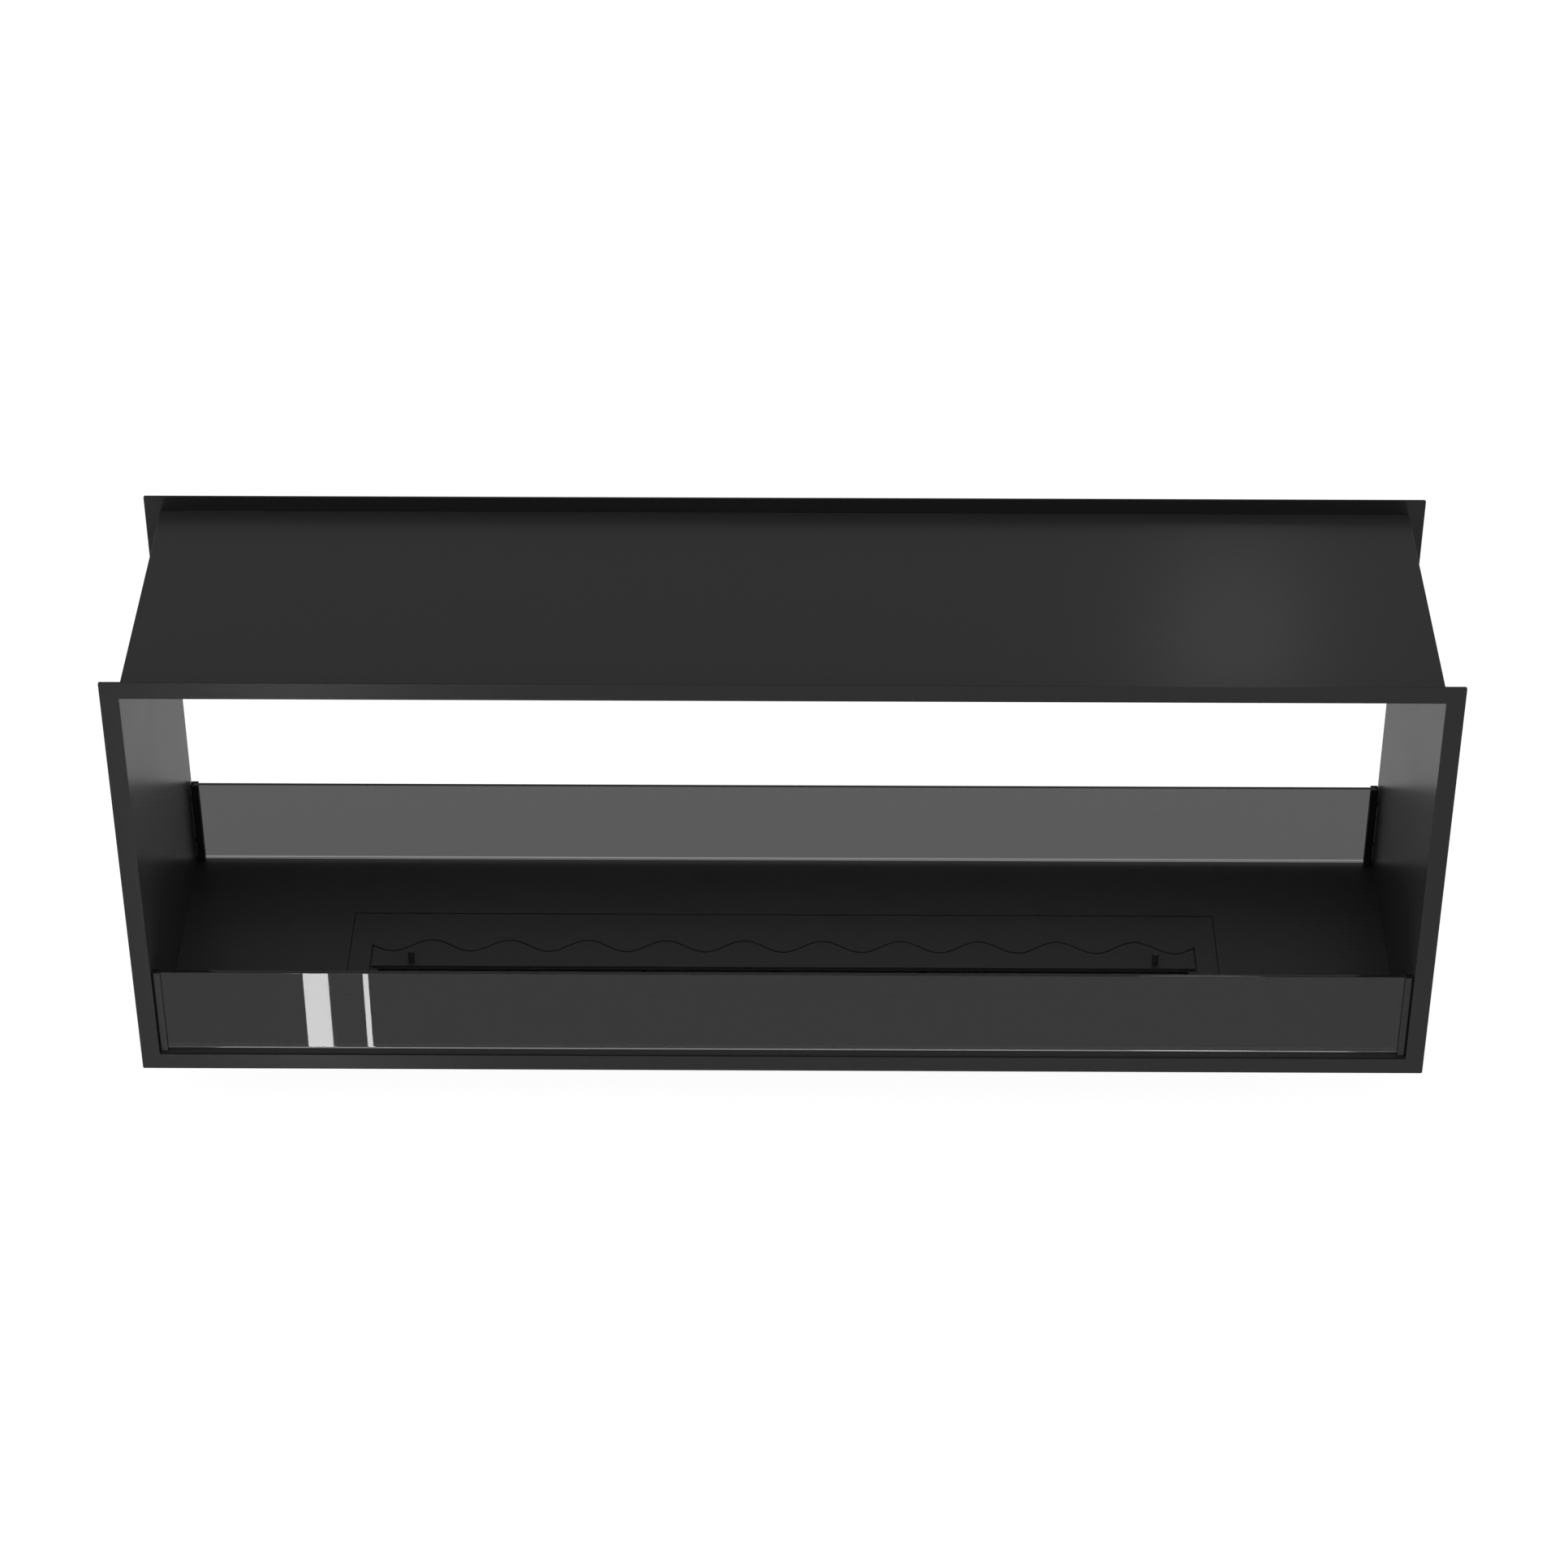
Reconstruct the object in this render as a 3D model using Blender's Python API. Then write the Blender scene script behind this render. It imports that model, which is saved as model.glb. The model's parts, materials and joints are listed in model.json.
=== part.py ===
"""See-through built-in bio-ethanol fireplace: sheet-metal tunnel, glass screens and slide-lid burner.

Frame of reference: metres, +Z up, X along the width, +Y from the front to the rear.
The origin is the centre of the burner housing's underside, on which the part stands.
Every separate piece is one object, with a small air gap to the pieces that it rests on.
"""
import math

import bmesh
import bpy
from mathutils import Matrix, Vector

MM = 0.001
GAP = 0.3 * MM                       # air left between pieces that touch on the real object

# Frames and tunnel
FRAME_WIDTH = 1200 * MM
FRAME_HEIGHT = 440 * MM
DEPTH = 308 * MM                     # front face of the front frame to rear face of the rear frame
LIP = 15 * MM                        # frame standing out past the tunnel on every side
SHEET = 2 * MM
THIN_SHEET = 1.5 * MM
CORNER_RADIUS = 1.5 * MM             # outer corners of the frames
EDGE_BREAK = 0.25 * MM               # softened sheet edges
HOUSING_DROP = 40 * MM               # burner housing below the frames

# Glass screens
GLASS_THICKNESS = 4 * MM
GLASS_HEIGHT = 90 * MM
GLASS_EDGE_PLAY = 1 * MM             # glass end to channel web
GLASS_FACE_PLAY = 0.5 * MM           # glass face to channel leg
CHANNEL_SETBACK = 3.2 * MM           # outer face of a frame to the channel
CHANNEL_LEG = 7.5 * MM
CHANNEL_HEIGHT = 94 * MM
PAD_HEIGHT = 3.2 * MM
PAD_LENGTH = 5 * MM

# Burner
PLATE_WIDTH = 837 * MM
PLATE_DEPTH = 123 * MM
PLATE_END_GAP = 0.5 * MM             # plate end to the cut-out in the base
PLATE_SIDE_GAP = 2 * MM              # plate's long edges to the cut-out, room to lift the plate
RECESS_WIDTH = 796 * MM              # opening in the plate, in which the lid slides
RECESS_FRONT = -51 * MM              # y of the opening's straight front edge
WAVE_MEAN = 12.7 * MM                # y of the wavy rear edge's middle line
WAVE_HEIGHT = 8.6 * MM               # middle line to crest
WAVE_PITCH = 75.6 * MM
WAVE_STEPS = 12                      # outline points for one wave
LID_GAP = 1.6 * MM
LID_FRONT = -19.8 * MM               # y of the lid's straight front edge at rest
LID_TRAVEL = 22 * MM                 # towards the front, which shuts the flame slot
SLOT_WIDTH = 780 * MM
SLOT_FRONT = -36 * MM
SLOT_LAP = 1 * MM                    # shut lid over the slot's rear edge, at the wave's troughs
SLOT_REAR = WAVE_MEAN - WAVE_HEIGHT - LID_GAP - LID_TRAVEL - SLOT_LAP
PIN_X = 358 * MM
PIN_Y = -12.1 * MM
PIN_RADIUS = 3 * MM
PIN_HEIGHT = 12 * MM
PIN_TAIL_RADIUS = 2 * MM
LEDGE_WIDTH = 24 * MM                # ring under the base that carries the plate
LEDGE_OVERLAP = 8 * MM               # plate resting on the ring
DECK_PLAY = 1 * MM                   # deck edge to the ring
TANK_INSET = 3 * MM                  # deck edge to tank wall
TANK_BOTTOM = 10 * MM                # z of the tank's underside
BLOCK_COUNT = 3
BLOCK_HEIGHT = 30 * MM
BLOCK_PLAY = 1.5 * MM
HOUSING_WIDTH = 900 * MM
HOUSING_DEPTH = 184 * MM
HOUSING_FLANGE = 14 * MM

# Fasteners
SCREW_RADIUS = 2 * MM
HEAD_RADIUS = 3.6 * MM
HEAD_HEIGHT = 2.1 * MM
SINK_DEPTH = 1.6 * MM
HEAD_SUNK = 0.05 * MM                # countersunk head below the frame's face
HOLE_PLAY = 0.35 * MM
NUT_RADIUS = 4.4 * MM                # across the corners
NUT_HEIGHT = 3.2 * MM
ROUND = 16                           # sides of a turned piece
BRACKET_LENGTH = 40 * MM
BRACKET_LEG = 22 * MM
BRACKET_LIP = 12.4 * MM
BRACKET_X = 300 * MM                 # centre of each bracket under the base
BRACKET_Z = 85 * MM                  # distance of a side bracket from the tunnel's mid-height
CHANNEL_SCREW_RISE = (25 * MM, 75 * MM)
HOUSING_FIXING_X = (-400 * MM, 0.0, 400 * MM)

# Worked-out places
FRONT = -DEPTH / 2
REAR = DEPTH / 2
FRAME_BOTTOM = HOUSING_DROP
FRAME_TOP = FRAME_BOTTOM + FRAME_HEIGHT
BODY_X = FRAME_WIDTH / 2 - LIP       # outer face of a side panel
INNER_X = BODY_X - SHEET
BODY_BOTTOM = FRAME_BOTTOM + LIP
BODY_TOP = FRAME_TOP - LIP
FLOOR = BODY_BOTTOM + SHEET
CEILING = BODY_TOP - SHEET
BODY_FRONT = FRONT + SHEET + GAP
BODY_REAR = REAR - SHEET - GAP
MIDDLE_Z = (BODY_BOTTOM + BODY_TOP) / 2
CHANNEL_DEPTH = 2 * THIN_SHEET + GLASS_THICKNESS + 2 * GLASS_FACE_PLAY
LEDGE_TOP = BODY_BOTTOM - GAP        # level that carries the plate and the lid
LEDGE_X = PLATE_WIDTH / 2 - LEDGE_OVERLAP
LEDGE_Y = PLATE_DEPTH / 2 - LEDGE_OVERLAP
DECK_X = LEDGE_X - DECK_PLAY
DECK_Y = LEDGE_Y - DECK_PLAY

PAINTS = {
    "frame_black": ((0.018, 0.018, 0.018), 0.45, 0.0),
    "panel_black": ((0.016, 0.016, 0.016), 0.5, 0.0),
    "channel_black": ((0.014, 0.014, 0.014), 0.45, 0.0),
    "burner_black": ((0.014, 0.014, 0.014), 0.4, 0.0),
    "smoked_glass": ((0.10, 0.10, 0.11), 0.03, 0.0),
    "steel": ((0.55, 0.55, 0.55), 0.35, 1.0),
    "black_screw": ((0.02, 0.02, 0.02), 0.35, 0.8),
    "silicone": ((0.05, 0.05, 0.05), 0.7, 0.0),
    "ceramic_wool": ((0.80, 0.79, 0.76), 0.95, 0.0),
}


def clear_scene():
    for item in list(bpy.data.objects):
        bpy.data.objects.remove(item, do_unlink=True)


def paint(piece, finish):
    """Give a piece its own Principled material in one of the finishes."""
    colour, roughness, metallic = PAINTS[finish]
    material = bpy.data.materials.new(piece.name + "_" + finish)
    material.use_nodes = True
    shader = material.node_tree.nodes["Principled BSDF"]
    shader.inputs["Base Color"].default_value = (*colour, 1.0)
    shader.inputs["Roughness"].default_value = roughness
    shader.inputs["Metallic"].default_value = metallic
    if finish == "smoked_glass":
        shader.inputs["Transmission Weight"].default_value = 1.0
    piece.data.materials.append(material)


def add_piece(name, mesh_builder, finish, place=(0, 0, 0), parent=None, soften=0.0, smooth=False):
    """Turn a bmesh into a named object at its place, in world metres."""
    mesh = bpy.data.meshes.new(name)
    mesh_builder.to_mesh(mesh)
    mesh_builder.free()
    piece = bpy.data.objects.new(name, mesh)
    bpy.context.scene.collection.objects.link(piece)
    if parent is None:
        piece.location = place
    else:
        piece.parent = parent
        piece.location = Vector(place) - parent.location
    paint(piece, finish)
    if smooth:
        mesh.shade_smooth()
        mesh.set_sharp_from_angle(angle=math.radians(35))
    if soften:
        edges = piece.modifiers.new("softened_edges", "BEVEL")
        edges.width = soften
        edges.segments = 1
        edges.limit_method = "ANGLE"
        edges.angle_limit = math.radians(40)
        edges.use_clamp_overlap = True
    return piece


def joint_axis(name, place):
    """An empty on a joint's axis, which carries the pieces that move on it."""
    empty = bpy.data.objects.new(name, None)
    empty.location = place
    bpy.context.scene.collection.objects.link(empty)
    return empty


def block(low, high):
    """A rectangular block from its lowest to its highest corner."""
    low = Vector(low)
    high = Vector(high)
    shape = bmesh.new()
    place = Matrix.Translation((low + high) / 2) @ Matrix.Diagonal((*(high - low), 1.0))
    bmesh.ops.create_cube(shape, size=1.0, matrix=place)
    return shape


def rectangle(half_width, low, high, corner_radius=0.0, corner_steps=4):
    """Outline of a rectangle, with round corners where a radius is given."""
    corners = ((-half_width, low), (half_width, low), (half_width, high), (-half_width, high))
    if not corner_radius:
        return list(corners)
    points = []
    for turn, (x, y) in enumerate(corners):
        centre_x = x - math.copysign(corner_radius, x)
        centre_y = y + corner_radius if y == low else y - corner_radius
        for step in range(corner_steps + 1):
            angle = math.pi * (1 + turn / 2 + step / (2 * corner_steps))
            points.append((centre_x + corner_radius * math.cos(angle),
                           centre_y + corner_radius * math.sin(angle)))
    return points


def circle(centre, radius, sides=ROUND):
    turns = (2 * math.pi * step / sides for step in range(sides))
    return [(centre[0] + radius * math.cos(turn), centre[1] + radius * math.sin(turn)) for turn in turns]


def sheet(outlines, to_point, thickness):
    """A flat sheet: the first outline is its edge and the others are holes through it."""
    shape = bmesh.new()
    edges = []
    for outline in outlines:
        corners = [shape.verts.new(to_point(a, b)) for a, b in outline]
        edges += [shape.edges.new((corners[i - 1], corners[i])) for i in range(len(corners))]
    bmesh.ops.triangle_fill(shape, use_beauty=True, use_dissolve=False, edges=edges)
    grown = bmesh.ops.extrude_face_region(shape, geom=shape.faces[:])["geom"]
    lifted = [item for item in grown if isinstance(item, bmesh.types.BMVert)]
    bmesh.ops.translate(shape, verts=lifted, vec=thickness)
    bmesh.ops.recalc_face_normals(shape, faces=shape.faces[:])
    return shape


def level_sheet(outlines, bottom, thickness):
    return sheet(outlines, lambda x, y: (x, y, bottom), (0, 0, thickness))


def upright_sheet(outlines, front, thickness):
    """A sheet across the depth: outlines in X and Z."""
    return sheet(outlines, lambda x, z: (x, front, z), (0, thickness, 0))


def side_sheet(outlines, start, thickness):
    """A sheet across the width: outlines in Y and Z."""
    return sheet(outlines, lambda y, z: (start, y, z), (thickness, 0, 0))


def turned(profile, axis):
    """A turned piece about the given axis, from (radius, height) points, ends on the axis."""
    shape = bmesh.new()
    points = [shape.verts.new((radius, 0, height)) for radius, height in profile]
    lines = [shape.edges.new(pair) for pair in zip(points, points[1:])]
    bmesh.ops.spin(shape, geom=points + lines, axis=(0, 0, 1), cent=(0, 0, 0),
                   angle=2 * math.pi, steps=ROUND, use_merge=True)
    bmesh.ops.remove_doubles(shape, verts=shape.verts[:], dist=0.00001)
    bmesh.ops.recalc_face_normals(shape, faces=shape.faces[:])
    aim = Vector((0, 0, 1)).rotation_difference(Vector(axis)).to_matrix().to_4x4()
    bmesh.ops.transform(shape, matrix=aim, verts=shape.verts[:])
    return shape


def pan(low, high, flange, wall):
    """A folded pan, open at the top, with a flange standing out round its rim."""
    rim = Vector((flange, flange, 0))
    low = Vector(low)
    high = Vector(high)
    shape = block((low.x - rim.x, low.y - rim.y, high.z - wall), high + rim)
    shape.faces.ensure_lookup_table()
    under = min(shape.faces, key=lambda face: face.calc_center_median().z)
    if flange:
        bmesh.ops.inset_region(shape, faces=[under], thickness=flange, use_even_offset=True)
    push_face(shape, under, low.z - (high.z - wall))
    top = max(shape.faces, key=lambda face: face.calc_center_median().z)
    bmesh.ops.inset_region(shape, faces=[top], thickness=flange + wall, use_even_offset=True)
    push_face(shape, top, -(high.z - low.z - wall))
    bmesh.ops.recalc_face_normals(shape, faces=shape.faces[:])
    return shape


def push_face(shape, face, distance):
    """Extrude one level face by a distance along Z."""
    grown = bmesh.ops.extrude_face_region(shape, geom=[face])["geom"]
    if face.is_valid:
        bmesh.ops.delete(shape, geom=[face], context="FACES")
    moved = [item for item in grown if isinstance(item, bmesh.types.BMVert)]
    bmesh.ops.translate(shape, verts=moved, vec=(0, 0, distance))


def shifted(shape, offset):
    bmesh.ops.translate(shape, verts=shape.verts[:], vec=offset)
    return shape


def gathered(shapes):
    """Several shapes as one, such as all the drills for one piece."""
    whole = bmesh.new()
    for shape in shapes:
        spare = bpy.data.meshes.new("spare")
        shape.to_mesh(spare)
        shape.free()
        whole.from_mesh(spare)
        bpy.data.meshes.remove(spare)
    return whole


def cut(piece, cutter_shape, name):
    """Cut a hidden cutter out of a piece."""
    mesh = bpy.data.meshes.new(name)
    cutter_shape.to_mesh(mesh)
    cutter_shape.free()
    cutter = bpy.data.objects.new(name, mesh)
    bpy.context.scene.collection.objects.link(cutter)
    cutter.hide_render = True
    cutter.display_type = "WIRE"
    hole = piece.modifiers.new(name, "BOOLEAN")
    hole.operation = "DIFFERENCE"
    hole.solver = "EXACT"
    hole.object = cutter


# ---------------------------------------------------------------- tunnel and frames

def frame_outlines():
    outer = rectangle(FRAME_WIDTH / 2, FRAME_BOTTOM, FRAME_TOP, CORNER_RADIUS)
    return [outer, rectangle(INNER_X, FLOOR, CEILING)]


def rear_screw_places():
    """Where the rear frame is screwed to its brackets, with the bracket's side of the tunnel."""
    lip_middle = LIP / 2
    for side in (-1, 1):
        for rise in (-1, 1):
            yield side * (BODY_X + lip_middle), MIDDLE_Z + rise * BRACKET_Z, "side"
    for side in (-1, 1):
        yield side * BRACKET_X, FRAME_BOTTOM + lip_middle, "under"


def countersunk(play=0.0, length=SHEET + SHEET + GAP):
    """Profile of a countersunk screw, its flat head at height 0 and its shank below."""
    head = HEAD_RADIUS + play
    shank = SCREW_RADIUS + play
    lift = play / 2
    return [(0, lift), (head, lift), (head, -0.2 * MM), (shank, -SINK_DEPTH), (shank, -length), (0, -length)]


def make_frames():
    add_piece("front_frame", upright_sheet(frame_outlines(), FRONT, SHEET), "frame_black", soften=EDGE_BREAK)
    rear = add_piece("rear_frame", upright_sheet(frame_outlines(), REAR - SHEET, SHEET), "frame_black",
                     soften=EDGE_BREAK)
    holes = [shifted(turned(countersunk(play=HOLE_PLAY), (0, 1, 0)), (x, REAR, z))
             for x, z, _ in rear_screw_places()]
    cut(rear, gathered(holes), "rear_frame_holes")


def make_rear_brackets():
    """Folded angles that are welded to the tunnel and take the rear frame's screws."""
    for index, (x, z, place) in enumerate(rear_screw_places(), start=1):
        name = f"rear_bracket_{index}"
        back = BODY_REAR
        half = BRACKET_LENGTH / 2
        if place == "side":
            side = math.copysign(1, x)
            wall = BODY_X + GAP
            angle = [(wall, back), (wall, back - BRACKET_LEG), (wall + SHEET, back - BRACKET_LEG),
                     (wall + SHEET, back - SHEET), (wall + BRACKET_LIP, back - SHEET),
                     (wall + BRACKET_LIP, back)]
            outline = [(side * a, b) for a, b in angle]
            shape = sheet([outline], lambda a, b, low=z - half: (a, b, low), (0, 0, BRACKET_LENGTH))
        else:
            wall = BODY_BOTTOM - GAP
            outline = [(back, wall), (back - BRACKET_LEG, wall), (back - BRACKET_LEG, wall - SHEET),
                       (back - SHEET, wall - SHEET), (back - SHEET, wall - BRACKET_LIP),
                       (back, wall - BRACKET_LIP)]
            shape = sheet([outline], lambda a, b, low=x - half: (low, a, b), (BRACKET_LENGTH, 0, 0))
        bracket = add_piece(name, shape, "panel_black", soften=EDGE_BREAK)
        drill = upright_sheet([circle((x, z), SCREW_RADIUS + HOLE_PLAY)], back - 2 * SHEET, 3 * SHEET)
        cut(bracket, drill, name + "_hole")
        add_piece(f"rear_screw_{index}", turned(countersunk(), (0, 1, 0)), "black_screw",
                  place=(x, REAR - HEAD_SUNK, z), smooth=True)


def channel_screw_places():
    """Y and Z of the screws that hold the four channels to one side panel."""
    for end in (-1, 1):
        y = end * (REAR - CHANNEL_SETBACK - CHANNEL_DEPTH / 2)
        for rise in CHANNEL_SCREW_RISE:
            yield y, FLOOR + rise


def make_tunnel():
    add_piece("top_panel", block((-BODY_X, BODY_FRONT, CEILING), (BODY_X, BODY_REAR, BODY_TOP)),
              "panel_black", soften=EDGE_BREAK)
    edge = rectangle(BODY_X, BODY_FRONT, BODY_REAR)
    cut_out_y = PLATE_DEPTH / 2 + PLATE_SIDE_GAP
    opening = rectangle(PLATE_WIDTH / 2 + PLATE_END_GAP, -cut_out_y, cut_out_y)
    add_piece("base_panel", level_sheet([edge, opening], BODY_BOTTOM, SHEET), "panel_black",
              soften=EDGE_BREAK)
    low = FLOOR + GAP
    high = CEILING - GAP
    wall = [(BODY_FRONT, low), (BODY_REAR, low), (BODY_REAR, high), (BODY_FRONT, high)]
    holes = [circle(place, SCREW_RADIUS + HOLE_PLAY) for place in channel_screw_places()]
    for name, start in (("left_side_panel", -BODY_X), ("right_side_panel", INNER_X)):
        add_piece(name, side_sheet([wall, *holes], start, SHEET), "panel_black")


# ---------------------------------------------------------------- glass screens

def pan_head(grip):
    """Profile of a pan-head screw: its head stands on height 0 and its shank goes down by the grip."""
    dome = [(HEAD_RADIUS * math.cos(turn), HEAD_HEIGHT * (0.45 + 0.55 * math.sin(turn)))
            for turn in (math.radians(40 * step) for step in range(2))]
    return [(0, -grip), (SCREW_RADIUS, -grip), (SCREW_RADIUS, 0), (HEAD_RADIUS, 0), *dome,
            (HEAD_RADIUS * 0.4, HEAD_HEIGHT), (0, HEAD_HEIGHT)]


def make_channels():
    """Four open-topped U channels, screwed on from outside the tunnel."""
    for end_name, end in (("front", -1), ("rear", 1)):
        outer_y = end * (REAR - CHANNEL_SETBACK)
        inner_y = outer_y - end * CHANNEL_DEPTH
        leg = end * THIN_SHEET
        for side_name, side in (("left", -1), ("right", 1)):
            wall = side * (INNER_X - GAP)
            web = wall - side * THIN_SHEET
            tip = wall - side * CHANNEL_LEG
            outline = [(wall, outer_y), (tip, outer_y), (tip, outer_y - leg), (web, outer_y - leg),
                       (web, inner_y + leg), (tip, inner_y + leg), (tip, inner_y), (wall, inner_y)]
            name = f"channel_{end_name}_{side_name}"
            channel = add_piece(name, level_sheet([outline], FLOOR + GAP, CHANNEL_HEIGHT), "channel_black",
                                soften=EDGE_BREAK)
            drills = []
            for row, rise in enumerate(CHANNEL_SCREW_RISE, start=1):
                centre = ((outer_y + inner_y) / 2, FLOOR + rise)
                drills.append(side_sheet([circle(centre, SCREW_RADIUS + HOLE_PLAY)], wall + side * SHEET,
                                         -side * 3 * SHEET))
                add_piece(f"channel_screw_{end_name}_{side_name}_{row}",
                          turned(pan_head(SHEET + GAP + THIN_SHEET), (side, 0, 0)), "black_screw",
                          place=(side * (BODY_X + GAP), *centre), smooth=True)
            cut(channel, gathered(drills), name + "_holes")


def make_glass():
    """Two loose panes on silicone pads, each on its own lifting axis."""
    for end_name, end in (("front", -1), ("rear", 1)):
        middle_y = end * (REAR - CHANNEL_SETBACK - CHANNEL_DEPTH / 2)
        half_x = INNER_X - GAP - THIN_SHEET - GLASS_EDGE_PLAY
        bottom = FLOOR + PAD_HEIGHT + 2 * GAP
        lift = joint_axis(end_name + "_glass_axis", (0, middle_y, bottom))
        half_y = GLASS_THICKNESS / 2
        pane = block((-half_x, -half_y, 0), (half_x, half_y, GLASS_HEIGHT))
        add_piece(end_name + "_glass", pane, "smoked_glass", place=lift.location, parent=lift,
                  soften=EDGE_BREAK)
        for side_name, side in (("left", -1), ("right", 1)):
            pad = block((-PAD_LENGTH / 2, -half_y, 0), (PAD_LENGTH / 2, half_y, PAD_HEIGHT))
            add_piece(f"glass_pad_{end_name}_{side_name}", pad, "silicone", soften=EDGE_BREAK,
                      place=(side * (half_x - PAD_LENGTH / 2), middle_y, FLOOR + GAP))


# ---------------------------------------------------------------- burner

def wave_edge(half_width, mean):
    """Points of the wavy rear edge, from the right end to the left, crest lines along Y."""
    count = round(2 * half_width / WAVE_PITCH * WAVE_STEPS)
    for step in range(count + 1):
        x = half_width - 2 * half_width * step / count
        yield x, mean - WAVE_HEIGHT * math.cos(2 * math.pi * x / WAVE_PITCH)


def make_burner():
    """The lift-out burner: plate, deck, tank and wool, with the lid sliding on the deck."""
    lift = joint_axis("burner_axis", (0, 0, LEDGE_TOP))
    half_x = PLATE_WIDTH / 2
    half_y = PLATE_DEPTH / 2
    recess = [(-RECESS_WIDTH / 2, RECESS_FRONT), (RECESS_WIDTH / 2, RECESS_FRONT)]
    recess += list(wave_edge(RECESS_WIDTH / 2, WAVE_MEAN))
    plate = sheet([rectangle(half_x, -half_y, half_y, CORNER_RADIUS), recess],
                  lambda x, y: (x, y, GAP), (0, 0, SHEET))
    add_piece("burner_top_plate", plate, "burner_black", place=lift.location, parent=lift, soften=EDGE_BREAK)

    slot = rectangle(SLOT_WIDTH / 2, SLOT_FRONT, SLOT_REAR, 3 * MM)
    deck = sheet([rectangle(DECK_X, -DECK_Y, DECK_Y), slot], lambda x, y: (x, y, -THIN_SHEET),
                 (0, 0, THIN_SHEET))
    add_piece("burner_deck", deck, "burner_black", place=lift.location, parent=lift, soften=EDGE_BREAK)

    tank_x = DECK_X - TANK_INSET
    tank_y = DECK_Y - TANK_INSET
    tank_top = LEDGE_TOP - THIN_SHEET - GAP
    tank = pan((-tank_x, -tank_y, TANK_BOTTOM), (tank_x, tank_y, tank_top), 0.0, THIN_SHEET)
    add_piece("fuel_tank", shifted(tank, -lift.location), "steel", place=lift.location, parent=lift,
              soften=EDGE_BREAK)

    room_x = tank_x - THIN_SHEET - BLOCK_PLAY
    room_y = tank_y - THIN_SHEET - BLOCK_PLAY
    length = 2 * room_x / BLOCK_COUNT
    floor = TANK_BOTTOM + THIN_SHEET + GAP - LEDGE_TOP
    for index in range(BLOCK_COUNT):
        start = -room_x + index * length
        wool = block((start + GAP, -room_y, floor), (start + length - GAP, room_y, floor + BLOCK_HEIGHT))
        add_piece(f"ceramic_block_{index + 1}", wool, "ceramic_wool", place=lift.location, parent=lift,
                  soften=1 * MM)
    make_lid(lift)


def make_lid(lift):
    """The sliding lid with its two pins, at rest fully open against the wavy edge."""
    slide = joint_axis("lid_axis", (0, LID_FRONT, LEDGE_TOP + GAP))
    slide.parent = lift
    slide.location = slide.location - lift.location
    half_x = RECESS_WIDTH / 2 - LID_GAP
    edge = [(-half_x, LID_FRONT), (half_x, LID_FRONT), *wave_edge(half_x, WAVE_MEAN - LID_GAP)]
    holes = [circle((side * PIN_X, PIN_Y), PIN_TAIL_RADIUS + GAP) for side in (-1, 1)]
    lid = sheet([edge, *holes], lambda x, y: (x, y - LID_FRONT, 0), (0, 0, SHEET))
    ride_on(slide, add_piece("burner_lid", lid, "burner_black", soften=EDGE_BREAK))
    collar = SHEET + GAP
    top = collar + PIN_HEIGHT
    profile = [(0, 0.5 * GAP), (PIN_TAIL_RADIUS, 0.5 * GAP), (PIN_TAIL_RADIUS, collar), (PIN_RADIUS, collar),
               (PIN_RADIUS, top - 0.4 * MM), (PIN_RADIUS - 0.4 * MM, top), (0, top)]
    for name, side in (("lid_pin_left", -1), ("lid_pin_right", 1)):
        pin = add_piece(name, turned(profile, (0, 0, 1)), "burner_black", smooth=True)
        ride_on(slide, pin, (side * PIN_X, PIN_Y - LID_FRONT, 0))


def ride_on(axis, piece, offset=(0, 0, 0)):
    piece.parent = axis
    piece.location = offset


def make_ledge():
    """Ring welded under the base, which carries the burner plate."""
    outer_y = LEDGE_Y + LEDGE_WIDTH
    outlines = [rectangle(LEDGE_X + LEDGE_WIDTH, -outer_y, outer_y), rectangle(LEDGE_X, -LEDGE_Y, LEDGE_Y)]
    ring = level_sheet(outlines, LEDGE_TOP - SHEET, SHEET)
    add_piece("burner_ledge", ring, "panel_black", soften=EDGE_BREAK)


def make_housing():
    """Folded pan under the base that guards the tank, hung on six studs with flange nuts."""
    half_x = HOUSING_WIDTH / 2
    half_y = HOUSING_DEPTH / 2
    shape = pan((-half_x, -half_y, 0), (half_x, half_y, LEDGE_TOP), HOUSING_FLANGE, THIN_SHEET)
    housing = add_piece("burner_housing", shape, "panel_black", soften=EDGE_BREAK)
    row_y = half_y + HOUSING_FLANGE / 2
    under = LEDGE_TOP - THIN_SHEET
    places = [(x, side * row_y) for side in (-1, 1) for x in HOUSING_FIXING_X]
    drills = [level_sheet([circle(place, SCREW_RADIUS + HOLE_PLAY)], under - SHEET, 3 * SHEET)
              for place in places]
    cut(housing, gathered(drills), "housing_holes")
    for index, place in enumerate(places, start=1):
        add_piece(f"housing_fixing_{index}", stud_with_nut(), "steel", place=(*place, under - GAP))


def stud_with_nut():
    """A stud with its nut run up: height 0 is the nut's top face, under the flange."""
    shape = bmesh.new()
    bmesh.ops.create_cone(shape, cap_ends=True, segments=6, radius1=NUT_RADIUS, radius2=NUT_RADIUS,
                          depth=NUT_HEIGHT, matrix=Matrix.Translation((0, 0, -NUT_HEIGHT / 2)))
    top = max(shape.faces, key=lambda face: face.calc_center_median().z)
    flat = NUT_RADIUS * math.cos(math.pi / 6)
    bmesh.ops.inset_region(shape, faces=[top], thickness=flat - SCREW_RADIUS * math.cos(math.pi / 6),
                           use_even_offset=True)
    push_face(shape, top, THIN_SHEET + GAP)
    bmesh.ops.recalc_face_normals(shape, faces=shape.faces[:])
    return shape


def main():
    clear_scene()
    make_frames()
    make_rear_brackets()
    make_tunnel()
    make_channels()
    make_glass()
    make_ledge()
    make_burner()
    make_housing()


main()
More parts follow.
